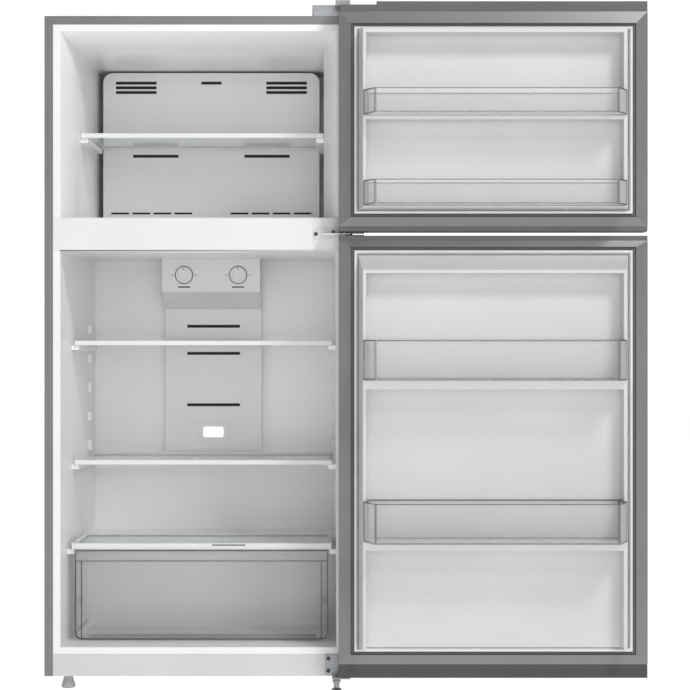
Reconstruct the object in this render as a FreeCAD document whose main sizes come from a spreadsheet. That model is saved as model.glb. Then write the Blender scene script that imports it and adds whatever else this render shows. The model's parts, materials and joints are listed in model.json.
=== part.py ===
import FreeCAD, Part
import os
import re
import Sketcher

# Top freezer refrigerator with both doors hinged on the right.
# Working frame: x to the right from the cabinet's middle, y to the back from the cabinet's front plane,
# z up from the floor. Doors are drawn closed, and their placement swings them half a turn open.

Vector = FreeCAD.Vector
Rotation = FreeCAD.Rotation
doc = FreeCAD.newDocument("TopFreezerRefrigerator")

# ---------------------------------------------------------------- driving dimensions, in millimetres
SIZES = {
    # cabinet
    "cabinetWidth": 760, "cabinetDepth": 630, "footHeight": 33, "baseBorder": 71.6, "fridgeHeight": 978.4,
    "mullionHeight": 81.4, "freezerHeight": 460.2, "topBorder": 37.4, "steelThickness": 0.8,
    "frontFlange": 21, "linerFlange": 18.4, "linerWall": 2, "backWall": 85, "linerTaper": 10,
    "baseBeamHeight": 54.5, "baseBeamDepth": 24, "beamThickness": 1.6, "freezerFlare": 32,
    "freezerFlareDepth": 97, "freezerTaper": 1.5, "humpLength": 215, "humpHeight": 235, "humpSlope": 20,
    # machine compartment
    "panThickness": 1.2, "machineDepth": 255, "machineHeight": 262, "machineSlope": 45, "coverThickness": 2,
    "coverSideGap": 1, "coverBottomGap": 8, "coverVentCount": 7, "coverVentPitch": 22, "coverVentHeight": 7,
    "coverVentRise": 48, "coverVentInner": 29, "coverVentInset": 111, "compressorRadius": 70,
    "compressorHeight": 160, "compressorInset": 180, "compressorSetback": 130, "compressorPlate": 3,
    "compressorPlateRound": 14, "relayWidth": 36, "relayHeight": 48, "relayRise": 50, "relayDepth": 44,
    "grommetRadius": 11, "grommetHeight": 14, "grommetOffset": 62, "coilTubeRadius": 3, "coilPitch": 34,
    "coilRuns": 5, "coilHalf": 120, "coilInset": 190, "coilSetback": 70, "coilRise": 150, "trayHalf": 140,
    "trayDepth": 190, "trayHeight": 32, "trayWall": 2.5, "trayLift": 5, "trayRound": 12, "traySetback": 36,
    "trayFootRadius": 6, "trayFootInset": 20, "glandRadius": 10, "glandBore": 4.5, "glandLip": 2,
    "glandInset": 80, "glandRise": 120, "glandLength": 9,
    # freezer fittings
    "evapCoverSideGap": 14.6, "evapCoverDepth": 115, "evapCoverTopGap": 5.1, "evapCoverRadius": 26,
    "panelWall": 2.5, "slotHeight": 8, "ventWidth": 110, "ventInset": 89, "ventDrop": 32.1,
    "ventPitch": 12.7, "ventRows": 3, "midVentWidth": 55, "lowVentWidth": 123, "lowVentInset": 142,
    "lowVentRise": 196.6, "seamRise": 212, "seamHeight": 3, "seamDepth": 0.9, "dashRise": 41.6,
    "dashHeight": 5, "dashWidth": 48, "dashPitch": 57, "dashInset": 45.5, "dashCount": 4, "finCount": 21,
    "finThickness": 0.6, "finWidth": 48, "finHeight": 130, "finRise": 26, "evapSideGap": 50.5,
    "evapTubeRadius": 4, "evapTubeRise": 13, "evapRuns": 5, "evapRunPitch": 26, "evapSetback": 26,
    "fanRadius": 48, "fanDrop": 134.7, "fanSetback": 30, "hubRadius": 14, "hubLength": 18, "bladeCount": 5,
    "bladeThickness": 2, "bladeTilt": 32, "motorRadius": 22, "motorLength": 30, "motorGap": 4,
    "motorArm": 92, "motorArmHeight": 16, "motorShaft": 2, "shaftClearance": 0.1, "freezerShelfRise": 209.6,
    "freezerShelfFront": 113, "freezerShelfBackGap": 45, "freezerShelfSideGap": 1.6,
    # shelves
    "shelfSideGap": 2.1, "shelfBackGap": 10, "shelfFront": 157, "upperShelfDrop": 234,
    "lowerShelfDrop": 539, "glassThickness": 4, "glassInset": 4, "glassRound": 3, "trimHeight": 12,
    "trimDepth": 9, "trimLip": 3, "trimRound": 2, "ledgeHeight": 12, "ledgeReach": 10,
    "freezerLedgeReach": 20, "ledgeInset": 8, "lugPitch": 78, "lugCount": 5, "lugHeight": 26,
    "lugLength": 42, "lugStand": 6, "lugFirstDrop": 516.4, "lugSetback": 78,
    # crisper
    "crisperFront": 97, "crisperBackGap": 5, "crisperSideGap": 12.1, "crisperLift": 3.4,
    "crisperHeight": 225, "crisperWall": 2.5, "crisperRadius": 18, "crisperRailHeight": 27,
    "crisperRailDepth": 5, "crisperLedgeGap": 3, "coverGap": 1, "coverFrameHeight": 16,
    "coverFrameWidth": 13, "coverGlassDrop": 2,
    # duct, lamp and controls
    "ductHalf": 132.5, "ductDepth": 35, "ductHeight": 536, "ductSlotWidth": 145, "ductSlotDropA": 181.5,
    "ductSlotDropB": 256, "ductSlotDropC": 397.5, "lampDrop": 472, "lampWidth": 55, "lampHeight": 28,
    "lampFrameWidth": 84, "lampFrameHeight": 49, "lampFrameDepth": 3, "lampProud": 5, "lampRadius": 5,
    "housingDepth": 92, "housingFaceHeight": 89, "housingHeight": 135, "housingHalf": 132,
    "housingRadius": 6, "dialOffset": 73, "dialDrop": 44, "dialRadius": 22, "dialThickness": 5,
    "dialGripWidth": 9, "dialGripHeight": 9, "dialGripInset": 3, "dialGap": 0.5, "dialShaftRadius": 3,
    "dialShaftLength": 14, "dialRound": 1.5,
    # doors, drawn closed
    "doorInset": 5.5, "pinInset": 14, "rimGap": 12, "openDoorGap": 10.8, "doorThickness": 62, "doorGap": 10.6,
    "doorGapDrop": 3.4, "doorOverTop": 21.6, "doorFloorGap": 10, "doorSkin": 0.8, "doorRadius": 4,
    "topCapHeight": 25, "thinCapHeight": 12, "lowCapHeight": 33, "capStep": 8, "capStepLength": 92,
    "capWall": 2.5, "capBoss": 48, "gasketOverlap": 4, "gasketLip": 7.5, "gasketLipHeight": 5,
    "gasketWidth": 16, "gasketGap": 0.5, "gasketRound": 6, "gasketInnerRound": 2, "doorLinerWall": 1.6,
    "dikeHeight": 57, "dikeSlope": 11, "dikeEndSlope": 2, "dikeLand": 8.5, "recessFloor": 7, "dikeGap": 1,
    "freezerTopDike": 13, "freezerLowDike": 5.2, "fridgeTopDike": 48, "fridgeTopSlope": 40,
    "fridgeLowDike": -1, "freezerRidgeHeight": 9, "fridgeRidgeHeight": 22, "ridgeRoot": 0.5,
    "handleWidth": 46, "handleHeight": 130, "handleDepth": 26, "handleInset": 18, "handleEndGap": 46,
    "handleWall": 2, "handleRound": 8,
    # door bins
    "binWall": 2.4, "binGap": 2, "binBackGap": 1, "binHook": 7, "binHookLength": 6, "binTaper": 26,
    "freezerBinDepth": 95, "fridgeBinDepth": 120, "binSeat": 0.5, "freezerUpperBinRise": 235.6,
    "freezerLowerBinRise": 19, "freezerBinHeight": 60, "fridgeUpperBinDrop": 317,
    "fridgeLowerBinRise": 275.4, "fridgeBinHeight": 96,
    # hinges
    "hingePlate": 3, "hingeRound": 2, "pinRadius": 4, "pinClearance": 0.1, "pinEndGap": 1, "pinLength": 8,
    "topPinLength": 14, "lowPinLength": 20, "tongueReach": 17, "topHingeWidth": 91.5, "topHingeBack": 70,
    "topHingeRise": 14.5, "topTongueWidth": 36, "hingeCoverHeight": 10, "hingeCoverWall": 1.5,
    "hingeCoverOver": 2, "midPlateInset": 19, "midPlateWidth": 57, "midPlateHeight": 25, "midPlateRound": 6,
    "midTongueWidth": 68.5, "lowPlateWidth": 47, "lowPlateHeight": 50, "lowPlateRound": 4,
    "lowTongueWidth": 44.5, "lowHingeLift": 3.5, "stopWidth": 40, "stopOffset": 4, "stopDepth": 26,
    "stopHeight": 3.2, "stopRound": 5, "screwRadius": 2.5, "screwHead": 5, "screwHeadHeight": 2.2,
    "screwInset": 16, "screwSpacing": 50, "midScrewInset": 7, "midScrewStep": 5, "lowScrewInset": 9,
    "lowScrewRise": 14, "lowScrewPitch": 30,
    # feet and rollers
    "footRadius": 17.5, "footRound": 2, "footInset": 34, "footY": 30, "footPad": 5, "footNeck": 11,
    "footNeckDrop": 6, "studRadius": 4, "studLength": 16, "studRoom": 2, "beamStudRoom": 6,
    "rightFootOffset": 19.5, "rightFootY": -24, "rightFootRadius": 13, "rightFootNeck": 7,
    "rightFootNut": 3, "rightFootNutHeight": 6, "rightFootNutDrop": 5, "rightStudLength": 13,
    "rollerRadius": 16, "rollerWidth": 14, "rollerRound": 1.5, "rollerInset": 80, "rollerSetback": 45,
    "rollerGap": 1, "bracketWall": 2, "bracketHalf": 12, "bracketDrop": 8, "axleRadius": 4,
    "axleClearance": 0.1,
}

sheet = doc.addObject("Spreadsheet::Sheet", "Sizes")
for row, (alias, value) in enumerate(SIZES.items(), start=1):
    sheet.set(f"A{row}", alias)
    sheet.set(f"B{row}", str(value))
    sheet.setAlias(f"B{row}", alias)
doc.recompute()

# ---------------------------------------------------------------- places worked out from the sizes
CABINET_HALF = "(cabinetWidth / 2)"
OPENING_HALF = "(cabinetWidth / 2 - frontFlange - linerFlange)"
FRIDGE_FLOOR = "(footHeight + baseBorder)"
FRIDGE_CEILING = "(footHeight + baseBorder + fridgeHeight)"
FREEZER_FLOOR = "(footHeight + baseBorder + fridgeHeight + mullionHeight)"
FREEZER_CEILING = f"({FREEZER_FLOOR} + freezerHeight)"
FREEZER_BACK_CEILING = f"({FREEZER_CEILING} - freezerFlare - freezerTaper)"
CABINET_TOP = f"({FREEZER_CEILING} + topBorder)"
LINER_BACK = "(cabinetDepth - backWall)"
FREEZER_HALF = f"({OPENING_HALF} - freezerFlare)"
PAN_TOP = "(footHeight + panThickness)"
MACHINE_FRONT = "(cabinetDepth - machineDepth)"
MACHINE_TOP = "(footHeight + machineHeight)"
EVAP_FRONT = f"({LINER_BACK} - evapCoverDepth)"
DUCT_FRONT = f"({LINER_BACK} - ductDepth)"
HOUSING_FRONT = f"({DUCT_FRONT} - housingDepth)"
DIAL_Z = f"({FRIDGE_CEILING} - dialDrop)"
LAMP_Z = f"({FRIDGE_CEILING} - lampDrop)"
FAN_Z = f"({FREEZER_BACK_CEILING} - fanDrop)"
FAN_Y = f"({EVAP_FRONT} + fanSetback)"
EVAP_HALF = f"({FREEZER_HALF} - freezerTaper - evapCoverSideGap)"
FREEZER_SHELF = (f"({FREEZER_HALF} - freezerShelfSideGap)", "freezerShelfFront",
                 f"({EVAP_FRONT} - freezerShelfBackGap)")
SHELF_HALF = f"({OPENING_HALF} - linerTaper - shelfSideGap)"
SHELF_BACK = f"({DUCT_FRONT} - shelfBackGap)"
SHELF_Z = {"upper": f"({FRIDGE_CEILING} - upperShelfDrop)", "lower": f"({FRIDGE_CEILING} - lowerShelfDrop)"}
CRISPER_HALF = f"({OPENING_HALF} - linerTaper - crisperSideGap)"
CRISPER_BACK = f"({LINER_BACK} - humpLength - crisperBackGap)"
COVER_Z = f"({FRIDGE_FLOOR} + crisperLift + crisperHeight + coverGap)"

DOOR_HALF = "(cabinetWidth / 2 - doorInset)"
PIN_X = f"({DOOR_HALF} - pinInset)"
# halfway between the closed door's face and the open one's, which stands clear of the hinge screws
PIN_Y = "(-(rimGap + doorThickness + hingePlate + screwHeadHeight + openDoorGap) / 2)"
DOOR_RIM = "(-rimGap)"
DOOR_FACE = "(-rimGap - doorThickness)"
GAP_MIDDLE = f"({FRIDGE_CEILING} + mullionHeight / 2 - doorGapDrop)"
FREEZER_DOOR = (f"({GAP_MIDDLE} + doorGap / 2)", f"({CABINET_TOP} + doorOverTop)")
FRIDGE_DOOR = ("(footHeight + doorFloorGap)", f"({GAP_MIDDLE} - doorGap / 2)")
GASKET_HALF = f"({OPENING_HALF} + gasketOverlap)"
DIKE_HALF = f"({GASKET_HALF} - gasketWidth - dikeGap)"
RECESS_HALF = f"({DIKE_HALF} - dikeSlope - dikeLand)"
RECESS_FLOOR = "(-rimGap + recessFloor)"
DIKE_TOP = "(-rimGap + dikeHeight)"

TONGUE_Y = f"({PIN_Y} - tongueReach)"
TONGUE_END = f"({PIN_X} + pinInset)"
TOP_ARM = f"({CABINET_TOP} + topHingeRise)"
INSIDE = "(cabinetWidth / 2 - steelThickness)"
FLANGE_EDGE = "(cabinetWidth / 2 - frontFlange)"
FOOT = (f"(footInset - {FLANGE_EDGE})", "footY")
RIGHT_FOOT = (f"({PIN_X} - rightFootOffset)", "rightFootY")
COMPRESSOR = (f"({CABINET_HALF} - compressorInset)", "(cabinetDepth - compressorSetback)")
COIL_X = f"(coilInset - {CABINET_HALF})"
GLAND_X = f"(glandInset - {CABINET_HALF})"

ORIGIN_X = f"((2 * {PIN_X} + {DOOR_HALF} - {CABINET_HALF}) / 2)"
ORIGIN_Y = f"((cabinetDepth + 2 * {PIN_Y} - fridgeBinDepth) / 2)"

# ---------------------------------------------------------------- small modelling helpers
ALIAS = re.compile(r"\b(" + "|".join(sorted(SIZES, key=len, reverse=True)) + r")\b")
nodes = {}


def size(name):
    """The sheet's value of one size, for counts in loops."""
    return sheet.get(name)


def bind(target, prop, formula):
    """Bind a property to a formula written with the sheet's aliases."""
    target.setExpression(prop, ALIAS.sub(r"Sizes.\1", str(formula)))


def place(target, x, y, z):
    """Bind the place of an object to three formulas."""
    for axis, formula in zip("xyz", (x, y, z)):
        bind(target, f".Placement.Base.{axis}", formula)


def block(name, x, y, z):
    """A box between the low and high formulas of each axis."""
    box = doc.addObject("Part::Box", name)
    for prop, (low, high) in zip(("Length", "Width", "Height"), (x, y, z)):
        bind(box, prop, f"({high}) - ({low})")
    place(box, x[0], y[0], z[0])
    return box


TURN = {"x": Rotation(Vector(0, 1, 0), 90), "y": Rotation(Vector(1, 0, 0), -90), "z": Rotation()}


def rod(name, radius, at, length, axis="z"):
    """A cylinder that starts at a point and runs along +axis."""
    pin = doc.addObject("Part::Cylinder", name)
    bind(pin, "Radius", radius)
    bind(pin, "Height", length)
    pin.Placement = FreeCAD.Placement(Vector(), TURN[axis])
    place(pin, *at)
    return pin


def joined(name, *parts):
    fuse = doc.addObject("Part::MultiFuse", name)
    fuse.Shapes = list(parts)
    return fuse


def shared(name, *parts):
    common = doc.addObject("Part::MultiCommon", name)
    common.Shapes = list(parts)
    return common


def less(name, base, *tools):
    cut = doc.addObject("Part::Cut", name)
    cut.Base = base
    cut.Tool = tools[0] if len(tools) == 1 else joined(name + "Tools", *tools)
    return cut


def together(name, *parts):
    """Several separate solids that make one node."""
    group = doc.addObject("Part::Compound", name)
    group.Links = list(parts)
    return group


def origin_plane(body, role):
    return next(part for part in body.Origin.OriginFeatures if part.Role == role)


def outline_sketch(body, plane, outline, offset):
    """A closed outline of straight lines, each corner held by two bound distances."""
    sketch = body.newObject("Sketcher::SketchObject", body.Name + "Sketch")
    sketch.AttachmentSupport = (origin_plane(body, plane), [""])
    sketch.MapMode = "FlatFace"
    bind(sketch, ".AttachmentOffset.Base.z", offset)
    count = len(outline)
    for index in range(count):
        start = Rotation(Vector(0, 0, 1), 360 * index / count).multVec(Vector(100, 0, 0))
        end = Rotation(Vector(0, 0, 1), 360 * (index + 1) / count).multVec(Vector(100, 0, 0))
        sketch.addGeometry(Part.LineSegment(start, end))
    for index in range(count):
        sketch.addConstraint(Sketcher.Constraint("Coincident", index, 2, (index + 1) % count, 1))
    for index, corner in enumerate(outline):
        for kind, formula in zip(("DistanceX", "DistanceY"), corner):
            number = sketch.addConstraint(Sketcher.Constraint(kind, -1, 1, index, 1, 1.0))
            bind(sketch, f"Constraints[{number}]", formula)
    return sketch


def prism(name, plane, outline, low, high):
    """A body padded from an outline in plane XY, XZ or YZ, between two formulas of the third axis."""
    body = doc.addObject("PartDesign::Body", name)
    backwards = plane == "XZ"
    sketch = outline_sketch(body, plane + "_Plane", outline, f"-({low})" if backwards else low)
    pad = body.newObject("PartDesign::Pad", name + "Pad")
    pad.Profile = sketch
    pad.Reversed = backwards
    bind(pad, "Length", f"({high}) - ({low})")
    body.Tip = pad
    return body


def plate(name, x, y, z, radius=None, along="Z", side=None):
    """A padded rectangle, with the corners that run along one axis rounded, or only those on one side."""
    plane, pair, third = {"Z": ("XY", (x, y), z), "Y": ("XZ", (x, z), y), "X": ("YZ", (y, z), x)}[along]
    (low_u, high_u), (low_v, high_v) = pair
    outline = [(low_u, low_v), (high_u, low_v), (high_u, high_v), (low_u, high_v)]
    body = prism(name, plane, outline, *third)
    if radius:
        round_edges(body, radius, along, [side] if side else [])
    return body


TOUCH = 1e-3  # what counts as level with a side of the body


def runs_along(edge, axis):
    box = edge.BoundBox
    spans = {"X": box.XLength, "Y": box.YLength, "Z": box.ZLength}
    long_side = spans.pop(axis)
    return long_side > TOUCH and max(spans.values()) < TOUCH


def lies_on(edge, shape, side):
    """Whether an edge lies on one side of a shape's box, such as ZMax."""
    return abs(getattr(edge.BoundBox, side) - getattr(shape.BoundBox, side)) < TOUCH


def round_edges(body, radius, along, sides, clear_of=None):
    """Fillet the edges of a body that run along an axis, on the sides named and clear of one other."""
    doc.recompute()
    solid = body.Tip
    names = []
    for number, edge in enumerate(solid.Shape.Edges, start=1):
        wanted = runs_along(edge, along) and all(lies_on(edge, solid.Shape, side) for side in sides)
        if wanted and not (clear_of and lies_on(edge, solid.Shape, clear_of)):
            names.append(f"Edge{number}")
    fillet = body.newObject("PartDesign::Fillet", body.Name + f"Fillet{len(body.Group)}")
    fillet.Base = (solid, names)
    bind(fillet, "Radius", radius)
    body.Tip = fillet
    doc.recompute()
    return body


def turned(name, profile):
    """A body of revolution about Z, from (radius, height) corners."""
    body = doc.addObject("PartDesign::Body", name)
    sketch = outline_sketch(body, "XZ_Plane", profile, "0")
    turn = body.newObject("PartDesign::Revolution", name + "Turn")
    turn.Profile = sketch
    turn.ReferenceAxis = (sketch, ["V_Axis"])
    turn.Angle = 360
    body.Tip = turn
    return body


def keep(node, target, door=False):
    """Name a finished sub-part and put it in the part's own frame."""
    target.Label = node
    if door:
        target.Placement = FreeCAD.Placement(Vector(), Rotation(Vector(0, 0, 1), 180))
        place(target, f"2 * {PIN_X} - {ORIGIN_X}", f"2 * {PIN_Y} - {ORIGIN_Y}", "0")
    else:
        place(target, f"-{ORIGIN_X}", f"-{ORIGIN_Y}", "0")
    nodes[node] = target


def both(half, inset="0"):
    """A span that is even about the middle."""
    return f"-({half}) + {inset}", f"({half}) - {inset}"


# ---------------------------------------------------------------- cabinet shell
def freezer_cavity(name, wall):
    """The freezer space, flared at its mouth, grown by a wall everywhere but at the mouth."""
    mouth = f"({OPENING_HALF} + {wall})"
    waist = f"({FREEZER_HALF} + {wall})"
    rear = f"({FREEZER_HALF} - freezerTaper + {wall})"
    back = f"({LINER_BACK} + {wall})"
    plan = prism(name + "Plan", "XY", [
        (f"-{mouth}", "0"), (mouth, "0"), (waist, "freezerFlareDepth"), (rear, back),
        (f"-{rear}", back), (f"-{waist}", "freezerFlareDepth"),
    ], f"{FREEZER_FLOOR} - {wall}", f"{FREEZER_CEILING} + {wall}")
    ceiling = f"({FREEZER_CEILING} + {wall})"
    side = prism(name + "Side", "YZ", [
        ("0", f"{FREEZER_FLOOR} - {wall}"), (back, f"{FREEZER_FLOOR} - {wall}"),
        (back, f"{ceiling} - freezerFlare - freezerTaper"),
        ("freezerFlareDepth", f"{ceiling} - freezerFlare"), ("0", ceiling),
    ], f"-{mouth}", mouth)
    return shared(name, plan, side)


def fridge_cavity(name, wall):
    """The fresh food space, with the hump over the machine compartment at its lower back."""
    mouth = f"({OPENING_HALF} + {wall})"
    rear = f"({OPENING_HALF} - linerTaper + {wall})"
    back = f"({LINER_BACK} + {wall})"
    floor = f"({FRIDGE_FLOOR} - {wall})"
    hump = f"({FRIDGE_FLOOR} + humpHeight - {wall})"
    plan = prism(name + "Plan", "XY", [
        (f"-{mouth}", "0"), (mouth, "0"), (rear, back), (f"-{rear}", back),
    ], floor, f"{FRIDGE_CEILING} + {wall}")
    side = prism(name + "Side", "YZ", [
        ("0", floor), (f"{LINER_BACK} - humpLength + {wall}", floor),
        (f"{LINER_BACK} - humpLength + humpSlope + {wall}", hump), (back, hump),
        (back, f"{FRIDGE_CEILING} + {wall}"), ("0", f"{FRIDGE_CEILING} + {wall}"),
    ], f"-{mouth}", mouth)
    return shared(name, plan, side)


def cabinet_shell():
    outer = plate("WrapperOuter", both(CABINET_HALF), ("0", "cabinetDepth"), ("footHeight", CABINET_TOP))
    hollow = block("WrapperHollow", both(INSIDE), ("steelThickness", "cabinetDepth + 1"),
                   ("footHeight - 1", f"{CABINET_TOP} - steelThickness"))
    mouth = block("WrapperMouth", both(FLANGE_EDGE), ("-1", "steelThickness + 1"),
                  ("footHeight - 1", f"{CABINET_TOP} - frontFlange"))
    keep("cabinet_wrapper", less("Wrapper", outer, hollow, mouth))

    keep("cabinet_back_panel", plate(
        "BackPanel", both(INSIDE), ("cabinetDepth - steelThickness", "cabinetDepth"),
        (MACHINE_TOP, f"{CABINET_TOP} - steelThickness")))

    freezer_outer = freezer_cavity("FreezerOuter", "linerWall")
    fridge_outer = fridge_cavity("FridgeOuter", "linerWall")

    freezer_flange = block("FreezerFlange", both(FLANGE_EDGE), ("0", "linerWall"),
                           (FREEZER_FLOOR, f"{CABINET_TOP} - frontFlange"))
    freezer_body = joined("FreezerBody", freezer_outer, freezer_flange)
    hollow_freezer = less("FreezerShell", freezer_body, freezer_cavity("FreezerInner", "0"))
    keep("freezer_liner", joined("FreezerLiner", hollow_freezer, *freezer_ledges()))

    fridge_flange = block("FridgeFlange", both(FLANGE_EDGE), ("0", "linerWall"),
                          ("footHeight + baseBeamHeight", FRIDGE_CEILING))
    fridge_body = joined("FridgeBody", fridge_outer, fridge_flange)
    hollow_fridge = less("FridgeShell", fridge_body, fridge_cavity("FridgeInner", "0"))
    keep("fridge_liner", joined("FridgeLiner", hollow_fridge, *fridge_ledges()))

    mullion = block("MullionBar", both(FLANGE_EDGE), ("0", "linerWall"), (FRIDGE_CEILING, FREEZER_FLOOR))
    keep("mullion_cover", less("MullionCover", mullion, freezer_cavity("MullionClearTop", "linerWall"),
                               fridge_cavity("MullionClearLow", "linerWall")))

    foam_block = block("FoamBlock", both(INSIDE), ("steelThickness", "cabinetDepth - steelThickness"),
                       (PAN_TOP, f"{CABINET_TOP} - steelThickness"))
    behind_mouth = block("FoamMouth", both(FLANGE_EDGE), ("0", "linerWall"),
                         ("footHeight", f"{CABINET_TOP} - frontFlange"))
    beam_room = block("FoamBeamRoom", both(FLANGE_EDGE), ("0", "baseBeamDepth"),
                      ("footHeight", "footHeight + baseBeamHeight"))
    machine_room = prism("FoamMachineRoom", "YZ", machine_outline("0"), *both("cabinetWidth"))
    foot_room = rod("FoamFootRoom", "studRadius + studRoom", (*FOOT, "footHeight"), "studLength + studRoom")
    keep("cabinet_foam", less("CabinetFoam", foam_block, behind_mouth, beam_room, machine_room, foot_room,
                              freezer_cavity("FoamFreezer", "linerWall"),
                              fridge_cavity("FoamFridge", "linerWall")))


def machine_outline(wall):
    """The machine compartment's section, grown forwards and upwards by a wall."""
    front = f"({MACHINE_FRONT} - {wall})"
    top = f"({MACHINE_TOP} + {wall})"
    return [
        (front, "footHeight - 10"), ("cabinetDepth + 10", "footHeight - 10"), ("cabinetDepth + 10", top),
        (f"{front} + machineSlope", top), (front, f"{top} - machineSlope"),
    ]


def freezer_ledges():
    """Moulded ribs that carry the freezer shelf."""
    top = f"({FREEZER_FLOOR} + freezerShelfRise)"
    ledges = []
    for side in (-1, 1):
        wall = f"{side} * ({FREEZER_HALF} + linerWall / 2)"
        edge = f"{side} * ({FREEZER_HALF} - freezerLedgeReach)"
        span = (wall, edge) if side < 0 else (edge, wall)
        ledges.append(block(f"FreezerLedge{len(ledges)}", span,
                            ("freezerShelfFront + ledgeInset", FREEZER_SHELF[2]),
                            (f"{top} - ledgeHeight", top)))
    return ledges


def fridge_ledges():
    """Moulded ribs under the two shelves and the crisper cover, and the column of lugs at the rear."""
    levels = [
        (SHELF_Z["upper"], "shelfFront + ledgeInset", SHELF_BACK, f"{SHELF_HALF} - ledgeReach"),
        (SHELF_Z["lower"], "shelfFront + ledgeInset", SHELF_BACK, f"{SHELF_HALF} - ledgeReach"),
        (COVER_Z, "crisperFront + ledgeInset", CRISPER_BACK, f"{CRISPER_HALF} + crisperLedgeGap"),
    ]
    blocks = []
    for side in (-1, 1):
        wall = f"{side} * ({OPENING_HALF} + linerWall)"
        for top, front, back, reach in levels:
            edge = f"{side} * ({reach})"
            span = (wall, edge) if side < 0 else (edge, wall)
            rib = block(f"FridgeLedge{len(blocks)}", span, (front, back), (f"{top} - ledgeHeight", top))
            blocks.append(rib)
        for step in range(int(size("lugCount"))):
            low = f"({FRIDGE_CEILING} - lugFirstDrop + lugPitch * {step})"
            edge = f"{side} * ({OPENING_HALF} - linerTaper - lugStand)"
            span = (wall, edge) if side < 0 else (edge, wall)
            back = f"({LINER_BACK} - lugSetback)"
            blocks.append(block(f"RearLug{len(blocks)}", span, (f"{back} - lugLength", back),
                                (low, f"{low} + lugHeight")))
    return [shared("FridgeLedgesTrimmed", joined("FridgeLedges", *blocks),
                   fridge_cavity("LedgeLimit", "linerWall / 2"))]


# ---------------------------------------------------------------- base and machine compartment
def base_parts():
    beam = block("BeamOuter", both(FLANGE_EDGE), ("0", "baseBeamDepth"),
                 ("footHeight", "footHeight + baseBeamHeight"))
    beam_hollow = block("BeamHollow", both("cabinetWidth"), ("beamThickness", "baseBeamDepth + 1"),
                        ("footHeight + beamThickness", "footHeight + baseBeamHeight - beamThickness"))
    stud_hole = rod("BeamStudHole", "studRadius + beamStudRoom", (*FOOT, "footHeight - 1"), "studLength")
    keep("base_front_beam", less("BaseBeam", beam, beam_hollow, stud_hole))

    floor = block("PanFloor", both(INSIDE), ("baseBeamDepth", "cabinetDepth - coverThickness"),
                  ("footHeight", PAN_TOP))
    wall_outer = prism("PanWallOuter", "YZ", machine_outline("0"), *both(INSIDE))
    wall_inner = prism("PanWallInner", "YZ", machine_outline("-panThickness"), *both("cabinetWidth"))
    wall_limit = block("PanWallLimit", both("cabinetWidth"), ("0", "cabinetDepth - coverThickness"),
                       ("footHeight", CABINET_TOP))
    riser = shared("PanRiser", less("PanWall", wall_outer, wall_inner), wall_limit)
    foot_hole = rod("PanFootHole", "studRadius + shaftClearance", (*FOOT, "footHeight - 1"),
                    "panThickness + 2")
    keep("base_pan", less("BasePan", joined("PanWhole", floor, riser), foot_hole))

    cover_x = both(INSIDE, "coverSideGap")
    cover_y = ("cabinetDepth - coverThickness", "cabinetDepth")
    cover = block("CoverPlate", cover_x, cover_y,
                  ("footHeight + coverBottomGap", f"{MACHINE_TOP} - panThickness"))
    vents = []
    vent_end = f"{CABINET_HALF} - coverVentInset"
    vent_spans = {"Left": (f"-({vent_end})", "-coverVentInner"), "Right": ("coverVentInner", vent_end)}
    for side, span in vent_spans.items():
        for row in range(int(size("coverVentCount"))):
            low = f"(footHeight + coverVentRise + coverVentPitch * {row})"
            vents.append(block(f"CoverVent{side}{row}", span,
                               ("cabinetDepth - coverThickness - 1", "cabinetDepth + 1"),
                               (low, f"{low} + coverVentHeight")))
    gland_hole = rod("CoverGlandHole", "glandRadius - glandLip",
                     (GLAND_X, "cabinetDepth - coverThickness - 1", "footHeight + glandRise"),
                     "coverThickness + 2", "y")
    keep("machine_cover", less("MachineCover", cover, gland_hole, *vents))

    gland_at = (GLAND_X, "cabinetDepth - coverThickness - glandLength", "footHeight + glandRise")
    body = rod("GlandBody", "glandRadius", gland_at, "glandLength", "y")
    neck = rod("GlandNeck", "glandRadius - glandLip", gland_at, "glandLength + coverThickness", "y")
    bore = rod("GlandBore", "glandBore", gland_at, "glandLength + coverThickness + 1", "y")
    keep("cord_gland", less("CordGland", joined("GlandWhole", body, neck), bore))

    compressor_parts()
    coil_and_tray()


def compressor_parts():
    low = f"({PAN_TOP} + grommetHeight)"
    at_x, at_y = COMPRESSOR
    can = turned("CompressorCan", [
        ("0", "compressorPlate"), ("compressorRadius * 0.7", "compressorPlate"),
        ("compressorRadius", "compressorHeight * 0.24"), ("compressorRadius", "compressorHeight * 0.66"),
        ("compressorRadius * 0.82", "compressorHeight * 0.9"), ("compressorRadius * 0.4", "compressorHeight"),
        ("0", "compressorHeight"),
    ])
    place(can, at_x, at_y, low)
    reach = "(grommetOffset + compressorPlateRound)"
    feet = plate("CompressorFeet", (f"{at_x} - {reach}", f"{at_x} + {reach}"),
                 (f"{at_y} - {reach}", f"{at_y} + {reach}"), (low, f"{low} + compressorPlate"),
                 "compressorPlateRound")
    relay_x = f"({at_x} - compressorRadius * 0.8)"
    relay = block("CompressorRelay", (f"{relay_x} - relayWidth", relay_x),
                  (f"{at_y} - relayDepth / 2", f"{at_y} + relayDepth / 2"),
                  (f"{low} + relayRise", f"{low} + relayRise + relayHeight"))
    keep("compressor", joined("Compressor", can, feet, relay))

    grommets = []
    for side_x in (-1, 1):
        for side_y in (-1, 1):
            at = (f"{at_x} + {side_x} * grommetOffset", f"{at_y} + {side_y} * grommetOffset", PAN_TOP)
            grommets.append(rod(f"Grommet{len(grommets)}", "grommetRadius", at, "grommetHeight"))
    keep("compressor_grommets", together("CompressorGrommets", *grommets))


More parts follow.
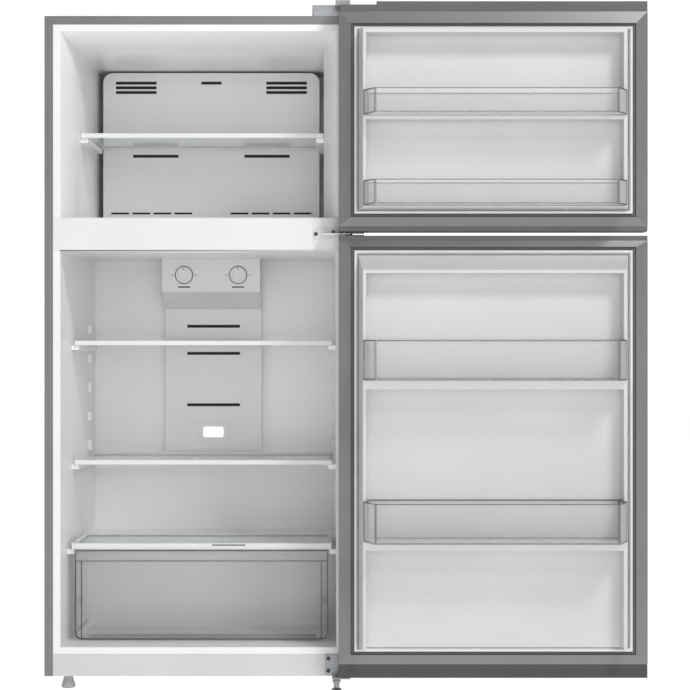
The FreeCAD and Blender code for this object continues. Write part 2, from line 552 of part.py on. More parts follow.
def half_ring(name, at, pitch, radius, turn):
    """Half a torus that joins two runs of tube."""
    ring = doc.addObject("Part::Torus", name)
    bind(ring, "Radius1", f"({pitch}) / 2")
    bind(ring, "Radius2", radius)
    ring.Angle3 = 180
    ring.Placement = FreeCAD.Placement(Vector(), turn)
    place(ring, *at)
    return ring


def serpentine(name, runs, half, middle, start, pitch, radius, flat):
    """Tube runs along x joined by half rings, stepping back along y when flat, or up along z."""
    pieces = []
    for run in range(runs):
        step = f"({pitch}) * {run}"
        y, z = (f"{start[0]} + {step}", start[1]) if flat else (start[0], f"{start[1]} + {step}")
        pieces.append(rod(f"{name}Run{run}", radius, (f"{middle} - ({half})", y, z), f"2 * ({half})", "x"))
        if run == runs - 1:
            break
        side = 1 if run % 2 == 0 else -1
        turn = Rotation(Vector(0, 0, 1), -90 * side)
        if not flat:
            turn = Rotation(Vector(1, 0, 0), 90).multiply(turn)
        half_step = f"({pitch}) * {run + 0.5}"
        y, z = (f"{start[0]} + {half_step}", start[1]) if flat else (start[0], f"{start[1]} + {half_step}")
        end = (f"{middle} + {side} * ({half})", y, z)
        pieces.append(half_ring(f"{name}Bend{run}", end, pitch, radius, turn))
    return pieces


def coil_and_tray():
    coil_at = (f"({MACHINE_FRONT} + coilSetback)", "(footHeight + coilRise)")
    coil = serpentine("Coil", int(size("coilRuns")), "coilHalf", COIL_X, coil_at, "coilPitch",
                      "coilTubeRadius", True)
    keep("condenser_coil", joined("CondenserCoil", *coil))

    tray_x = (f"{COIL_X} - trayHalf", f"{COIL_X} + trayHalf")
    tray_y = (f"{MACHINE_FRONT} + traySetback", f"{MACHINE_FRONT} + traySetback + trayDepth")
    tray_z = (f"{PAN_TOP} + trayLift", f"{PAN_TOP} + trayLift + trayHeight")
    tray = plate("TrayOuter", tray_x, tray_y, tray_z, "trayRound")
    well = block("TrayWell", (f"{tray_x[0]} + trayWall", f"{tray_x[1]} - trayWall"),
                 (f"{tray_y[0]} + trayWall", f"{tray_y[1]} - trayWall"),
                 (f"{tray_z[0]} + trayWall", f"{tray_z[1]} + 1"))
    feet = []
    for side_x in (-1, 1):
        x = f"{COIL_X} + {side_x} * (trayHalf - trayFootInset)"
        for y in (f"{tray_y[0]} + trayFootInset", f"{tray_y[1]} - trayFootInset"):
            feet.append(rod(f"TrayFoot{len(feet)}", "trayFootRadius", (x, y, PAN_TOP),
                            "trayLift + trayWall / 2"))
    keep("drip_tray", joined("DripTray", less("TrayShell", tray, well), *feet))


# ---------------------------------------------------------------- freezer fittings
def freezer_fittings():
    cover_top = f"({FREEZER_BACK_CEILING} - evapCoverTopGap)"
    outer = plate("EvapCoverOuter", both(EVAP_HALF), (EVAP_FRONT, LINER_BACK), (FREEZER_FLOOR, cover_top),
                  "evapCoverRadius", "Y", "ZMax")
    inner = plate("EvapCoverInner", both(EVAP_HALF, "panelWall"),
                  (f"{EVAP_FRONT} + panelWall", f"{LINER_BACK} + 1"),
                  (f"{FREEZER_FLOOR} - 1", f"{cover_top} - panelWall"))
    through = (f"{EVAP_FRONT} - 1", f"{EVAP_FRONT} + panelWall + 1")
    slots = []

    def slot(middle, width, z, height="slotHeight"):
        span = (f"{middle} - ({width}) / 2", f"{middle} + ({width}) / 2")
        slots.append(block(f"EvapSlot{len(slots)}", span, through,
                           (f"{z} - ({height}) / 2", f"{z} + ({height}) / 2")))

    for side in (-1, 1):
        for row in range(int(size("ventRows"))):
            slot(f"{side} * ({EVAP_HALF} - ventInset)", "ventWidth",
                 f"({FREEZER_BACK_CEILING} - ventDrop - ventPitch * {row})")
        slot(f"{side} * ({EVAP_HALF} - lowVentInset)", "lowVentWidth", f"({FREEZER_FLOOR} + lowVentRise)")
        for number in range(int(size("dashCount"))):
            slot(f"{side} * ({EVAP_HALF} - dashInset - dashPitch * {number})", "dashWidth",
                 f"({FREEZER_FLOOR} + dashRise)", "dashHeight")
    slot("0", "midVentWidth", f"({FREEZER_BACK_CEILING} - ventDrop)")
    seam_z = f"({FREEZER_FLOOR} + seamRise)"
    seam = block("EvapSeam", both(EVAP_HALF, "-1"), (f"{EVAP_FRONT} - 1", f"{EVAP_FRONT} + seamDepth"),
                 (seam_z, f"{seam_z} + seamHeight"))
    keep("evaporator_cover", less("EvaporatorCover", outer, inner, seam, *slots))

    fin_y = (f"{EVAP_FRONT} + evapSetback", f"{EVAP_FRONT} + evapSetback + finWidth")
    fin_z = (f"{FREEZER_FLOOR} + finRise", f"{FREEZER_FLOOR} + finRise + finHeight")
    fins = []
    count = int(size("finCount"))
    half = f"({EVAP_HALF} - evapSideGap)"
    for number in range(count):
        x = f"({half} * {2 * (number + 1) / (count + 1) - 1})"
        fin_x = (f"{x} - finThickness / 2", f"{x} + finThickness / 2")
        fins.append(block(f"Fin{number}", fin_x, fin_y, fin_z))
    tube_y = f"({EVAP_FRONT} + evapSetback + finWidth / 2)"
    tube_z = f"({FREEZER_FLOOR} + finRise + evapTubeRise)"
    tubes = serpentine("Evap", int(size("evapRuns")), half, "0", (tube_y, tube_z), "evapRunPitch",
                       "evapTubeRadius", False)
    keep("evaporator", joined("Evaporator", *fins, *tubes))

    hub = rod("FanHub", "hubRadius", ("0", FAN_Y, FAN_Z), "hubLength", "y")
    blades = []
    for number in range(int(size("bladeCount"))):
        blade = doc.addObject("Part::Box", f"FanBlade{number}")
        bind(blade, "Length", "fanRadius - hubRadius * 0.8")
        bind(blade, "Width", "hubLength")
        bind(blade, "Height", "bladeThickness")
        angle = 360 * number / int(size("bladeCount"))
        tilt = Rotation(Vector(1, 0, 0), size("bladeTilt"))
        spin = Rotation(Vector(0, 1, 0), angle).multiply(tilt)
        start = spin.multVec(Vector(size("hubRadius") * 0.8, -size("hubLength") / 2, 0))
        blade.Placement = FreeCAD.Placement(start, spin)
        place(blade, f"{start.x}", f"{FAN_Y} + hubLength / 2 + {start.y}", f"{FAN_Z} + {start.z}")
        blades.append(blade)
    shaft = rod("FanShaft", "motorShaft", ("0", f"{FAN_Y} + hubLength / 2", FAN_Z),
                "hubLength / 2 + motorGap + motorLength * 0.8", "y")
    keep("fan_blade", joined("FanBlade", hub, shaft, *blades))

    motor_y = f"({FAN_Y} + hubLength + motorGap)"
    can = rod("MotorCan", "motorRadius", ("0", motor_y, FAN_Z), "motorLength", "y")
    bore = rod("MotorBore", "motorShaft + shaftClearance", ("0", f"{motor_y} - 1", FAN_Z),
               "motorLength * 0.85 + 1", "y")
    arm = block("MotorArm", both("motorArm"), (f"{motor_y} + motorLength - 3", LINER_BACK),
                (f"{FAN_Z} - motorArmHeight / 2", f"{FAN_Z} + motorArmHeight / 2"))
    keep("fan_motor", less("FanMotor", joined("MotorWhole", can, arm), bore))

    shelf("freezer_shelf", "FreezerShelf", *FREEZER_SHELF, f"({FREEZER_FLOOR} + freezerShelfRise)")


def shelf(node, name, half, front, back, low):
    """A glass pane held in a front and a rear trim."""
    glass_z = f"({low} + trimLip)"
    glass_span = ((f"-({half}) + glassInset", f"({half}) - glassInset"),
                  (f"{front} + glassInset", f"{back} - glassInset"), (glass_z, f"{glass_z} + glassThickness"))
    keep(node + "_glass", plate(name + "Glass", *glass_span, "glassRound"))
    slot = plate(name + "Slot", *glass_span, "glassRound")
    bars = []
    spans = ((front, f"{front} + trimDepth"), (f"{back} - trimDepth", back))
    for number, bar_y in enumerate(spans):
        bars.append(plate(f"{name}Bar{number}", (f"-({half})", half), bar_y,
                          (low, f"{low} + trimHeight"), "trimRound", "X"))
    keep(node + "_trim", less(name + "Trim", together(name + "Bars", *bars), slot))


# ---------------------------------------------------------------- fresh food fittings
def fridge_fittings():
    for level in ("upper", "lower"):
        shelf(f"{level}_shelf", f"{level.title()}Shelf", SHELF_HALF, "shelfFront", SHELF_BACK, SHELF_Z[level])

    low = COVER_Z
    glass_top = f"({low} + coverFrameHeight - coverGlassDrop)"
    glass = (both(SHELF_HALF, "glassInset"), ("crisperFront + glassInset", f"{CRISPER_BACK} - glassInset"),
             (f"{glass_top} - glassThickness", glass_top))
    keep("crisper_cover_glass", plate("CrisperGlass", *glass))
    frame = plate("CrisperFrameOuter", both(SHELF_HALF), ("crisperFront", CRISPER_BACK),
                  (low, f"{low} + coverFrameHeight"), "glassRound")
    window = block("CrisperFrameWindow", both(SHELF_HALF, "coverFrameWidth"),
                   ("crisperFront + coverFrameWidth", f"{CRISPER_BACK} - coverFrameWidth"),
                   (f"{low} - 1", f"{low} + coverFrameHeight + 1"))
    keep("crisper_cover_frame", less("CrisperFrame", frame, window, plate("CrisperGlassSlot", *glass)))

    floor = f"({FRIDGE_FLOOR} + crisperLift)"
    top = f"({floor} + crisperHeight)"
    outer = plate("DrawerOuter", both(CRISPER_HALF), ("crisperFront", CRISPER_BACK), (floor, top),
                  "crisperRadius", "Y", "ZMin")
    inner = plate("DrawerInner", both(CRISPER_HALF, "crisperWall"),
                  ("crisperFront + crisperWall", f"{CRISPER_BACK} - crisperWall"),
                  (f"{floor} + crisperWall", f"{top} + 1"), "crisperRadius - crisperWall", "Y", "ZMin")
    rail = plate("DrawerRail", both(CRISPER_HALF), ("crisperFront - crisperRailDepth", "crisperFront"),
                 (f"{top} - crisperRailHeight", top), "trimRound", "X")
    keep("crisper_drawer", joined("CrisperDrawer", less("DrawerShell", outer, inner), rail))

    duct_z = (f"{FRIDGE_CEILING} - ductHeight", FRIDGE_CEILING)
    duct = block("DuctOuter", both("ductHalf"), (DUCT_FRONT, LINER_BACK), duct_z)
    duct_hollow = block("DuctHollow", both("ductHalf", "panelWall"),
                        (f"{DUCT_FRONT} + panelWall", f"{LINER_BACK} + 1"),
                        (f"{duct_z[0]} + panelWall", f"{duct_z[1]} - panelWall"))
    through = (f"{DUCT_FRONT} - 1", f"{DUCT_FRONT} + panelWall + 1")
    cuts = []
    for letter in "ABC":
        z = f"({FRIDGE_CEILING} - ductSlotDrop{letter})"
        cuts.append(block(f"DuctSlot{letter}", both("ductSlotWidth / 2"), through,
                          (f"{z} - slotHeight / 2", f"{z} + slotHeight / 2")))
    lamp_frame = ("lampFrameWidth / 2", "lampFrameHeight / 2")
    frame = block("LampFrame", both(lamp_frame[0]), (f"{DUCT_FRONT} - lampFrameDepth", DUCT_FRONT),
                  (f"{LAMP_Z} - {lamp_frame[1]}", f"{LAMP_Z} + {lamp_frame[1]}"))
    hole = plate("LampHole", both("lampWidth / 2"), (f"{DUCT_FRONT} - lampProud - 1", f"{DUCT_FRONT} + 8"),
                 (f"{LAMP_Z} - lampHeight / 2", f"{LAMP_Z} + lampHeight / 2"), "lampRadius", "Y")
    shell = less("DuctShell", duct, duct_hollow, *cuts)
    keep("duct_cover", less("DuctCover", joined("DuctWhole", shell, frame), hole))
    keep("lamp_lens", plate("LampLens", both("lampWidth / 2"),
                            (f"{DUCT_FRONT} - lampProud", f"{DUCT_FRONT} + panelWall"),
                            (f"{LAMP_Z} - lampHeight / 2", f"{LAMP_Z} + lampHeight / 2"), "lampRadius", "Y"))
    control_parts()


def control_parts():
    low_front = f"({FRIDGE_CEILING} - housingFaceHeight)"
    low_back = f"({FRIDGE_CEILING} - housingHeight)"
    outer = prism("HousingOuter", "YZ", [
        (HOUSING_FRONT, FRIDGE_CEILING), (HOUSING_FRONT, low_front), (DUCT_FRONT, low_back),
        (DUCT_FRONT, FRIDGE_CEILING),
    ], *both("housingHalf"))
    round_edges(outer, "housingRadius", "X", ["YMin"], clear_of="ZMax")
    inner_front = f"({HOUSING_FRONT} + panelWall)"
    inner = prism("HousingInner", "YZ", [
        (inner_front, f"{FRIDGE_CEILING} - panelWall"), (inner_front, f"{low_front} + panelWall"),
        (f"{DUCT_FRONT} + 1", f"{low_back} + panelWall"),
        (f"{DUCT_FRONT} + 1", f"{FRIDGE_CEILING} - panelWall"),
    ], *both("housingHalf", "panelWall"))
    holes = []
    for side in (-1, 1):
        holes.append(rod(f"DialHole{len(holes)}", "dialShaftRadius + shaftClearance",
                         (f"{side} * dialOffset", f"{HOUSING_FRONT} - 1", DIAL_Z), "panelWall + 4", "y"))
    keep("control_housing", less("ControlHousing", outer, inner, *holes))

    for node, side in (("freezer_dial", -1), ("fridge_dial", 1)):
        name = node.title().replace("_", "")
        at = f"{side} * dialOffset"
        disc = turned(name + "Disc", [
            ("0", "0"), ("dialRadius", "0"), ("dialRadius", "dialThickness - dialRound"),
            ("dialRadius - dialRound", "dialThickness"), ("0", "dialThickness"),
        ])
        disc.Placement = FreeCAD.Placement(Vector(), Rotation(Vector(1, 0, 0), 90))
        place(disc, at, f"{HOUSING_FRONT} - dialGap", DIAL_Z)
        disc_back = f"({HOUSING_FRONT} - dialGap)"
        overlap = f"({disc_back} - dialThickness / 2)"
        shaft = rod(name + "Shaft", "dialShaftRadius", (at, overlap, DIAL_Z),
                    "dialShaftLength + dialThickness / 2", "y")
        grip = plate(name + "Grip", (f"{at} - dialGripWidth / 2", f"{at} + dialGripWidth / 2"),
                     (f"{disc_back} - dialThickness - dialGripHeight", overlap),
                     (f"{DIAL_Z} - dialRadius + dialGripInset", f"{DIAL_Z} + dialRadius - dialGripInset"),
                     "dialRound", "Y")
        keep(node, joined(name, disc, shaft, grip))


# ---------------------------------------------------------------- doors
def ring(name, half, z, width, y):
    """A rectangular ring, width wide, inside a half width and a height span."""
    outer = plate(name + "Outer", both(half), y, z, "gasketRound", "Y")
    inner = plate(name + "Inner", both(half, width), (f"{y[0]} - 1", f"{y[1]} + 1"),
                  (f"{z[0]} + {width}", f"{z[1]} - {width}"), "gasketInnerRound", "Y")
    return less(name, outer, inner)


def dike_solid(name, z, wall, top_slope):
    """The raised rim of the door liner, shrunk by a wall on the foam side."""
    base = f"({DIKE_HALF} - {wall})"
    crest = f"({DIKE_HALF} - dikeSlope - {wall})"
    top = f"({DIKE_TOP} - {wall})"
    low_y = "(-rimGap)"
    plan = prism(name + "Plan", "XY", [
        (f"-{base}", low_y), (base, low_y), (crest, top), (f"-{crest}", top),
    ], z[0], z[1])
    side = prism(name + "Side", "YZ", [
        (low_y, f"{z[0]} + {wall}"), (low_y, f"{z[1]} - {wall}"),
        (top, f"{z[1]} - {wall} - {top_slope}"), (top, f"{z[0]} + {wall} + dikeEndSlope"),
    ], f"-{base}", base)
    return shared(name, plan, side)


def door(node, name, span, caps, opening, dikes, top_slope, ridge_tops, cup_low):
    low, high = span
    low_cap, high_cap = caps
    steel_z = (f"({low} + {low_cap})", f"({high} - {high_cap})")
    gasket_z = (f"({opening[0]} - gasketOverlap)", f"({opening[1]} + gasketOverlap)")
    dike_z = (f"({gasket_z[0]} + gasketWidth + dikeGap)", f"({gasket_z[1]} - gasketWidth - dikeGap)")
    recess_z = (f"({dike_z[0]} + {dikes[0]})", f"({dike_z[1]} - {dikes[1]})")
    body_y = (DOOR_FACE, DOOR_RIM)

    cup_x = (f"-{DOOR_HALF} + handleInset", f"-{DOOR_HALF} + handleInset + handleWidth")
    cup_y = (DOOR_FACE, f"{DOOR_FACE} + handleDepth")
    cup_z = (cup_low, f"{cup_low} + handleHeight")

    outer = plate(name + "SkinOuter", both(DOOR_HALF), body_y, steel_z, "doorRadius")
    hollow = plate(name + "SkinHollow", both(DOOR_HALF, "doorSkin"),
                   (f"{DOOR_FACE} + doorSkin", f"{DOOR_RIM} - doorSkin"), (f"{low} - 1", f"{high} + 1"),
                   "doorRadius - doorSkin")
    mouth = block(name + "SkinMouth", both(GASKET_HALF), (f"{DOOR_RIM} - 2", f"{DOOR_RIM} + 1"), gasket_z)
    cup_room = (cup_x, (f"{DOOR_FACE} - 1", cup_y[1]), cup_z)
    keep(node + "_door_skin", less(name + "Skin", outer, hollow, mouth,
                                   block(name + "SkinCup", *cup_room)), True)

    def filling(tag, wall):
        """The volume of the dikes less the recess, on the foam side of the liner when it has a wall."""
        recess = block(f"{name}{tag}Recess", both(RECESS_HALF, f"-({wall})"),
                       (f"{RECESS_FLOOR} - ({wall})", f"{DIKE_TOP} + 1"),
                       (f"{recess_z[0]} - ({wall})", f"{recess_z[1]} + ({wall})"))
        return less(f"{name}{tag}", dike_solid(f"{name}{tag}Dike", dike_z, wall, top_slope), recess)

    flange_y = (f"{DOOR_RIM} - doorLinerWall", DOOR_RIM)
    root = (both(DIKE_HALF, "doorLinerWall"), flange_y,
            (f"{dike_z[0]} + doorLinerWall", f"{dike_z[1]} - doorLinerWall"))
    flange = block(name + "LinerFlange", both(GASKET_HALF), flange_y, gasket_z)
    crest = filling("Crest", "0")
    core = filling("Core", "doorLinerWall")
    core_root = block(name + "CoreRoot", *root)
    ribs = []
    for bin_low in ridge_tops:
        top = f"({bin_low} - binSeat)"
        ribs.append(block(f"{name}Ridge{len(ribs)}", both(RECESS_HALF, "-ridgeRoot"),
                          (f"{RECESS_FLOOR} - doorLinerWall / 2", DIKE_TOP),
                          (f"{top} - {node}RidgeHeight", top)))
    shell = less(name + "LinerShell", joined(name + "LinerWhole", flange, crest), core, core_root)
    keep(node + "_door_liner", joined(name + "Liner", shell, *ribs), True)

    slab = plate(name + "FoamSlab", both(DOOR_HALF, "doorSkin"),
                 (f"{DOOR_FACE} + doorSkin", f"{DOOR_RIM} - doorSkin"), steel_z, "doorRadius - doorSkin")
    slab_cut = less(name + "FoamSlabCut", slab,
                    block(name + "FoamGap", both(GASKET_HALF), flange_y, gasket_z))
    foam = joined(name + "FoamWhole", slab_cut, block(name + "FoamRoot", *root),
                  filling("FoamCore", "doorLinerWall"))
    keep(node + "_door_foam", less(name + "Foam", foam, block(name + "FoamCup", *cup_room)), True)

    lip = ring(name + "GasketLip", GASKET_HALF, gasket_z, "gasketWidth",
               (DOOR_RIM, f"{DOOR_RIM} + gasketLipHeight"))
    bulb_z = (f"({gasket_z[0]} + gasketLip)", f"({gasket_z[1]} - gasketLip)")
    bulb = ring(name + "GasketBulb", f"({GASKET_HALF} - gasketLip)", bulb_z, "(gasketWidth - gasketLip)",
                (DOOR_RIM, "-gasketGap"))
    keep(node + "_door_gasket", joined(name + "Gasket", lip, bulb), True)

    cup = plate(name + "CupOuter", cup_x, cup_y, cup_z)
    cup_hollow = plate(name + "CupHollow", (f"{cup_x[0]} + handleWall", f"{cup_x[1]} - handleWall"),
                       (f"{cup_y[0]} - 1", f"{cup_y[1]} - handleWall"),
                       (f"{cup_z[0]} + handleWall", f"{cup_z[1]} - handleWall"), "handleRound", "Y")
    keep(node + "_handle_cup", less(name + "Cup", cup, cup_hollow), True)


def door_cap(node, name, z, cavity_up, pin_from, pin_depth, step=False, stop_z=None):
    """An end cap: a shallow tray with a solid boss that the hinge pin turns in."""
    outer = plate(name + "Outer", both(DOOR_HALF), (DOOR_FACE, DOOR_RIM), z, "doorRadius")
    cavity_z = (f"{z[0]} - 1", f"{z[1]} - capWall") if cavity_up else (f"{z[0]} + capWall", f"{z[1]} + 1")
    cavity_top = f"{cavity_z[1]} - capStep" if step else cavity_z[1]
    cavity = block(name + "Cavity", (f"-{DOOR_HALF} + capWall", f"{DOOR_HALF} - capBoss"),
                   (f"{DOOR_FACE} + capWall", f"{DOOR_RIM} - capWall"), (cavity_z[0], cavity_top))
    bore = rod(name + "Bore", "pinRadius + pinClearance", (PIN_X, PIN_Y, pin_from), pin_depth)
    tools = [cavity, bore]
    if step:
        tools.append(block(name + "Step", (f"{DOOR_HALF} - capStepLength", f"{DOOR_HALF} + 1"),
                           (f"{DOOR_FACE} - 1", f"{DOOR_RIM} + 1"), (f"{z[1]} - capStep", f"{z[1]} + 1")))
    cap = less(name, outer, *tools)
    if stop_z:
        stop_right = f"({PIN_X} - stopOffset - pinRadius)"
        stop = plate(name + "Stop", (f"{stop_right} - stopWidth", stop_right),
                     (f"{PIN_Y} - stopDepth / 2", f"{PIN_Y} + stopDepth / 2"), stop_z, "stopRound")
        cap = joined(name + "WithStop", cap, stop)
    keep(node, cap, True)


def door_bin(node, name, low, height, depth):
    """A bin that sits in the door's recess, hooks over the dikes and narrows towards its front."""
    back = f"({RECESS_FLOOR} + binBackGap)"
    neck = f"({RECESS_HALF} - binGap)"
    hook = f"({RECESS_HALF} + binHook)"
    crest = f"({DIKE_TOP} + binBackGap)"
    nose = f"({hook} - binTaper)"

    def outline(wall):
        """The plan, shrunk by a wall."""
        return [
            (f"-({neck} - {wall})", f"{back} + {wall}"), (f"({neck} - {wall})", f"{back} + {wall}"),
            (f"({neck} - {wall})", f"{crest} + {wall}"), (f"({hook} - {wall})", f"{crest} + {wall}"),
            (f"({hook} - {wall})", f"{crest} + binHookLength"), (f"({nose} - {wall})", f"{depth} - {wall}"),
            (f"-({nose} - {wall})", f"{depth} - {wall}"), (f"-({hook} - {wall})", f"{crest} + binHookLength"),
            (f"-({hook} - {wall})", f"{crest} + {wall}"), (f"-({neck} - {wall})", f"{crest} + {wall}"),
        ]

    outer = prism(name + "Outer", "XY", outline("0"), low, f"{low} + {height}")
    hollow = prism(name + "Hollow", "XY", outline("binWall"), f"{low} + binWall", f"{low} + {height} + 1")
    keep(node, less(name, outer, hollow), True)


def doors():
    freezer_low, freezer_high = FREEZER_DOOR
    fridge_low, fridge_high = FRIDGE_DOOR
    freezer_bins = (f"({FREEZER_FLOOR} + freezerUpperBinRise)", f"({FREEZER_FLOOR} + freezerLowerBinRise)")
    fridge_bins = (f"({FRIDGE_CEILING} - fridgeUpperBinDrop)", f"({FRIDGE_FLOOR} + fridgeLowerBinRise)")
    door("freezer", "Freezer", FREEZER_DOOR, ("thinCapHeight", "topCapHeight"),
         (FREEZER_FLOOR, FREEZER_CEILING), ("freezerLowDike", "freezerTopDike"), "dikeEndSlope",
         freezer_bins[:1], f"({freezer_low} + handleEndGap)")
    door("fridge", "Fridge", FRIDGE_DOOR, ("lowCapHeight", "thinCapHeight"),
         (FRIDGE_FLOOR, FRIDGE_CEILING), ("fridgeLowDike", "fridgeTopDike"), "fridgeTopSlope",
         fridge_bins, f"({fridge_high} - handleEndGap - handleHeight)")

    short_bore = "pinLength + pinEndGap + 1"
    door_cap("freezer_door_top_cap", "FreezerTopCap", (f"({freezer_high} - topCapHeight)", freezer_high),
             True, f"{TOP_ARM} - topPinLength - pinEndGap", "topPinLength + pinEndGap", step=True)
    door_cap("freezer_door_bottom_cap", "FreezerLowCap", (freezer_low, f"({freezer_low} + thinCapHeight)"),
             False, f"{freezer_low} - 1", short_bore,
             stop_z=(f"{freezer_low} - stopHeight", f"{freezer_low} + capWall / 2"))
    door_cap("fridge_door_top_cap", "FridgeTopCap", (f"({fridge_high} - thinCapHeight)", fridge_high),
             True, f"{fridge_high} - pinLength - pinEndGap", short_bore,
             stop_z=(f"{fridge_high} - capWall / 2", f"{fridge_high} + stopHeight"))
    door_cap("fridge_door_bottom_cap", "FridgeLowCap", (fridge_low, f"({fridge_low} + lowCapHeight)"),
             False, f"{fridge_low} - 1", "lowPinLength + pinEndGap + 1")

    for level, freezer_bin, fridge_bin in zip(("upper", "lower"), freezer_bins, fridge_bins):
        title = level.title()
        door_bin(f"freezer_{level}_bin", f"Freezer{title}Bin", freezer_bin, "freezerBinHeight",
                 "freezerBinDepth")
        door_bin(f"fridge_{level}_bin", f"Fridge{title}Bin", fridge_bin, "fridgeBinHeight", "fridgeBinDepth")


# ---------------------------------------------------------------- hinges, feet and rollers
def hinges():
    left = f"({TONGUE_END} - topHingeWidth)"
    bracket_x = (left, TONGUE_END)
    base = block("TopHingeBase", bracket_x, ("hingePlate", "topHingeBack"),
                 (CABINET_TOP, f"{CABINET_TOP} + hingePlate"))
    riser = block("TopHingeRiser", bracket_x, ("hingePlate", "2 * hingePlate"),
                  (CABINET_TOP, f"{TOP_ARM} + hingePlate"))
    arm = plate("TopHingeArm", (f"{TONGUE_END} - topTongueWidth", TONGUE_END), (TONGUE_Y, "2 * hingePlate"),
                (TOP_ARM, f"{TOP_ARM} + hingePlate"), "hingeRound")
    pin = rod("TopHingePin", "pinRadius", (PIN_X, PIN_Y, f"{TOP_ARM} - topPinLength"),
              "topPinLength + hingePlate / 2")
    screw_y = "topHingeBack - screwInset"
    screw_at = [(f"{left} + screwInset", screw_y), (f"{left} + screwInset + screwSpacing", screw_y)]
    holes = [rod(f"TopHingeHole{i}", "screwRadius", (x, y, f"{CABINET_TOP} - 1"), "hingePlate + 2")
             for i, (x, y) in enumerate(screw_at)]
    keep("top_hinge", less("TopHinge", joined("TopHingeWhole", base, riser, arm, pin), *holes))

    cover_z = (f"({TOP_ARM} + hingePlate)", f"({TOP_ARM} + hingePlate + hingeCoverHeight)")
    over = f"({left} - hingeCoverOver)"
    cover_back = "(topHingeBack + hingeCoverOver)"
    nose_left = f"({TONGUE_END} - topTongueWidth)"
    wall = "hingeCoverWall"
    main = plate("HingeCoverMain", (over, TONGUE_END), ("hingePlate", cover_back), cover_z)
    nose = plate("HingeCoverNose", (nose_left, TONGUE_END), (TONGUE_Y, "hingePlate + 1"), cover_z)
    skirt = plate("HingeCoverSkirt", (over, TONGUE_END), ("3 * hingePlate", cover_back),
                  (CABINET_TOP, f"{cover_z[0]} + 1"))
    inner_x = (f"{over} + {wall}", f"{TONGUE_END} - {wall}")
    hollow_main = block("HingeCoverHollow", inner_x, (f"hingePlate + {wall}", f"{cover_back} - {wall}"),
                        (f"{CABINET_TOP} - 1", f"{cover_z[1]} - {wall}"))
    hollow_nose = block("HingeCoverNoseHollow", (f"{nose_left} + {wall}", inner_x[1]),
                        (f"{TONGUE_Y} + {wall}", "2 * hingePlate"),
                        (f"{cover_z[0]} - 1", f"{cover_z[1]} - {wall}"))
    bracket_room = block("HingeCoverRoom", (left, f"{TONGUE_END} + 1"), ("0", "topHingeBack"),
                         (f"{CABINET_TOP} - 1", f"{CABINET_TOP} + hingePlate"))
    keep("top_hinge_cover", less("TopHingeCover", joined("HingeCoverWhole", main, nose, skirt),
                                 hollow_main, hollow_nose, bracket_room))

    plate_middle = f"({GAP_MIDDLE} + doorGapDrop)"
    mid_right = f"({FLANGE_EDGE} - midPlateInset)"
    mid_left = f"({mid_right} - midPlateWidth)"
    mid_plate = plate("MidPlate", (mid_left, mid_right), ("-hingePlate", "0"),
                      (f"{plate_middle} - midPlateHeight / 2", f"{plate_middle} + midPlateHeight / 2"),
                      "midPlateRound", "Y")
    tongue = plate("MidTongue", (f"{TONGUE_END} - midTongueWidth", TONGUE_END), (TONGUE_Y, "0"),
                   (f"{GAP_MIDDLE} - hingePlate / 2", f"{GAP_MIDDLE} + hingePlate / 2"), "hingeRound")
    mid_pin = rod("MidPin", "pinRadius", (PIN_X, PIN_Y, f"{GAP_MIDDLE} - doorGap / 2 - pinLength"),
                  "doorGap + 2 * pinLength")
    mid_screws = [(f"{mid_left} + midScrewInset", plate_middle),
                  (f"{mid_right} - midScrewInset", f"({plate_middle} + midScrewStep)")]
    mid_holes = [rod(f"MidHole{i}", "screwRadius", (x, "-hingePlate - 1", z), "hingePlate + 2", "y")
                 for i, (x, z) in enumerate(mid_screws)]
    keep("middle_hinge", less("MiddleHinge", joined("MidWhole", mid_plate, tongue, mid_pin), *mid_holes))

    low_z = ("(footHeight + lowHingeLift)", "(footHeight + lowHingeLift + hingePlate)")
    low_left = f"({FLANGE_EDGE} - lowPlateWidth)"
    low_plate = plate("LowPlate", (low_left, FLANGE_EDGE), ("-hingePlate", "0"),
                      (low_z[0], f"{low_z[0]} + lowPlateHeight"), "lowPlateRound", "Y")
    low_tongue = plate("LowTongue", (f"{TONGUE_END} - lowTongueWidth", TONGUE_END), (TONGUE_Y, "0"), low_z,
                       "hingeRound")
    low_pin = rod("LowPin", "pinRadius", (PIN_X, PIN_Y, low_z[0]),
                  f"{FRIDGE_DOOR[0]} + lowPinLength - {low_z[0]}")
    foot_hole = rod("LowFootHole", "studRadius + shaftClearance", (*RIGHT_FOOT, "footHeight"),
                    "lowHingeLift + hingePlate + 1")
    high_screw = "(footHeight + lowScrewRise + lowScrewPitch)"
    low_screws = [(f"{low_left} + lowScrewInset", "(footHeight + lowScrewRise)"),
                  (f"{low_left} + lowScrewInset", high_screw), (f"{FLANGE_EDGE} - lowScrewInset", high_screw)]
    low_holes = [rod(f"LowHole{i}", "screwRadius", (x, "-hingePlate - 1", z), "hingePlate + 2", "y")
                 for i, (x, z) in enumerate(low_screws)]
    keep("bottom_hinge", less("BottomHinge", joined("LowWhole", low_plate, low_tongue, low_pin),
                              foot_hole, *low_holes))

    screws = []
    for x, y in screw_at:
        screws.append(rod(f"Screw{len(screws)}", "screwHead", (x, y, f"{CABINET_TOP} + hingePlate"),
                          "screwHeadHeight"))
        screws.append(rod(f"Screw{len(screws)}", "screwRadius", (x, y, CABINET_TOP), "hingePlate"))
    for x, z in mid_screws + low_screws:
        screws.append(rod(f"Screw{len(screws)}", "screwHead", (x, "-hingePlate - screwHeadHeight", z),
                          "screwHeadHeight", "y"))
        screws.append(rod(f"Screw{len(screws)}", "screwRadius", (x, "-hingePlate", z), "hingePlate", "y"))
    keep("hinge_screws", joined("HingeScrews", *screws))


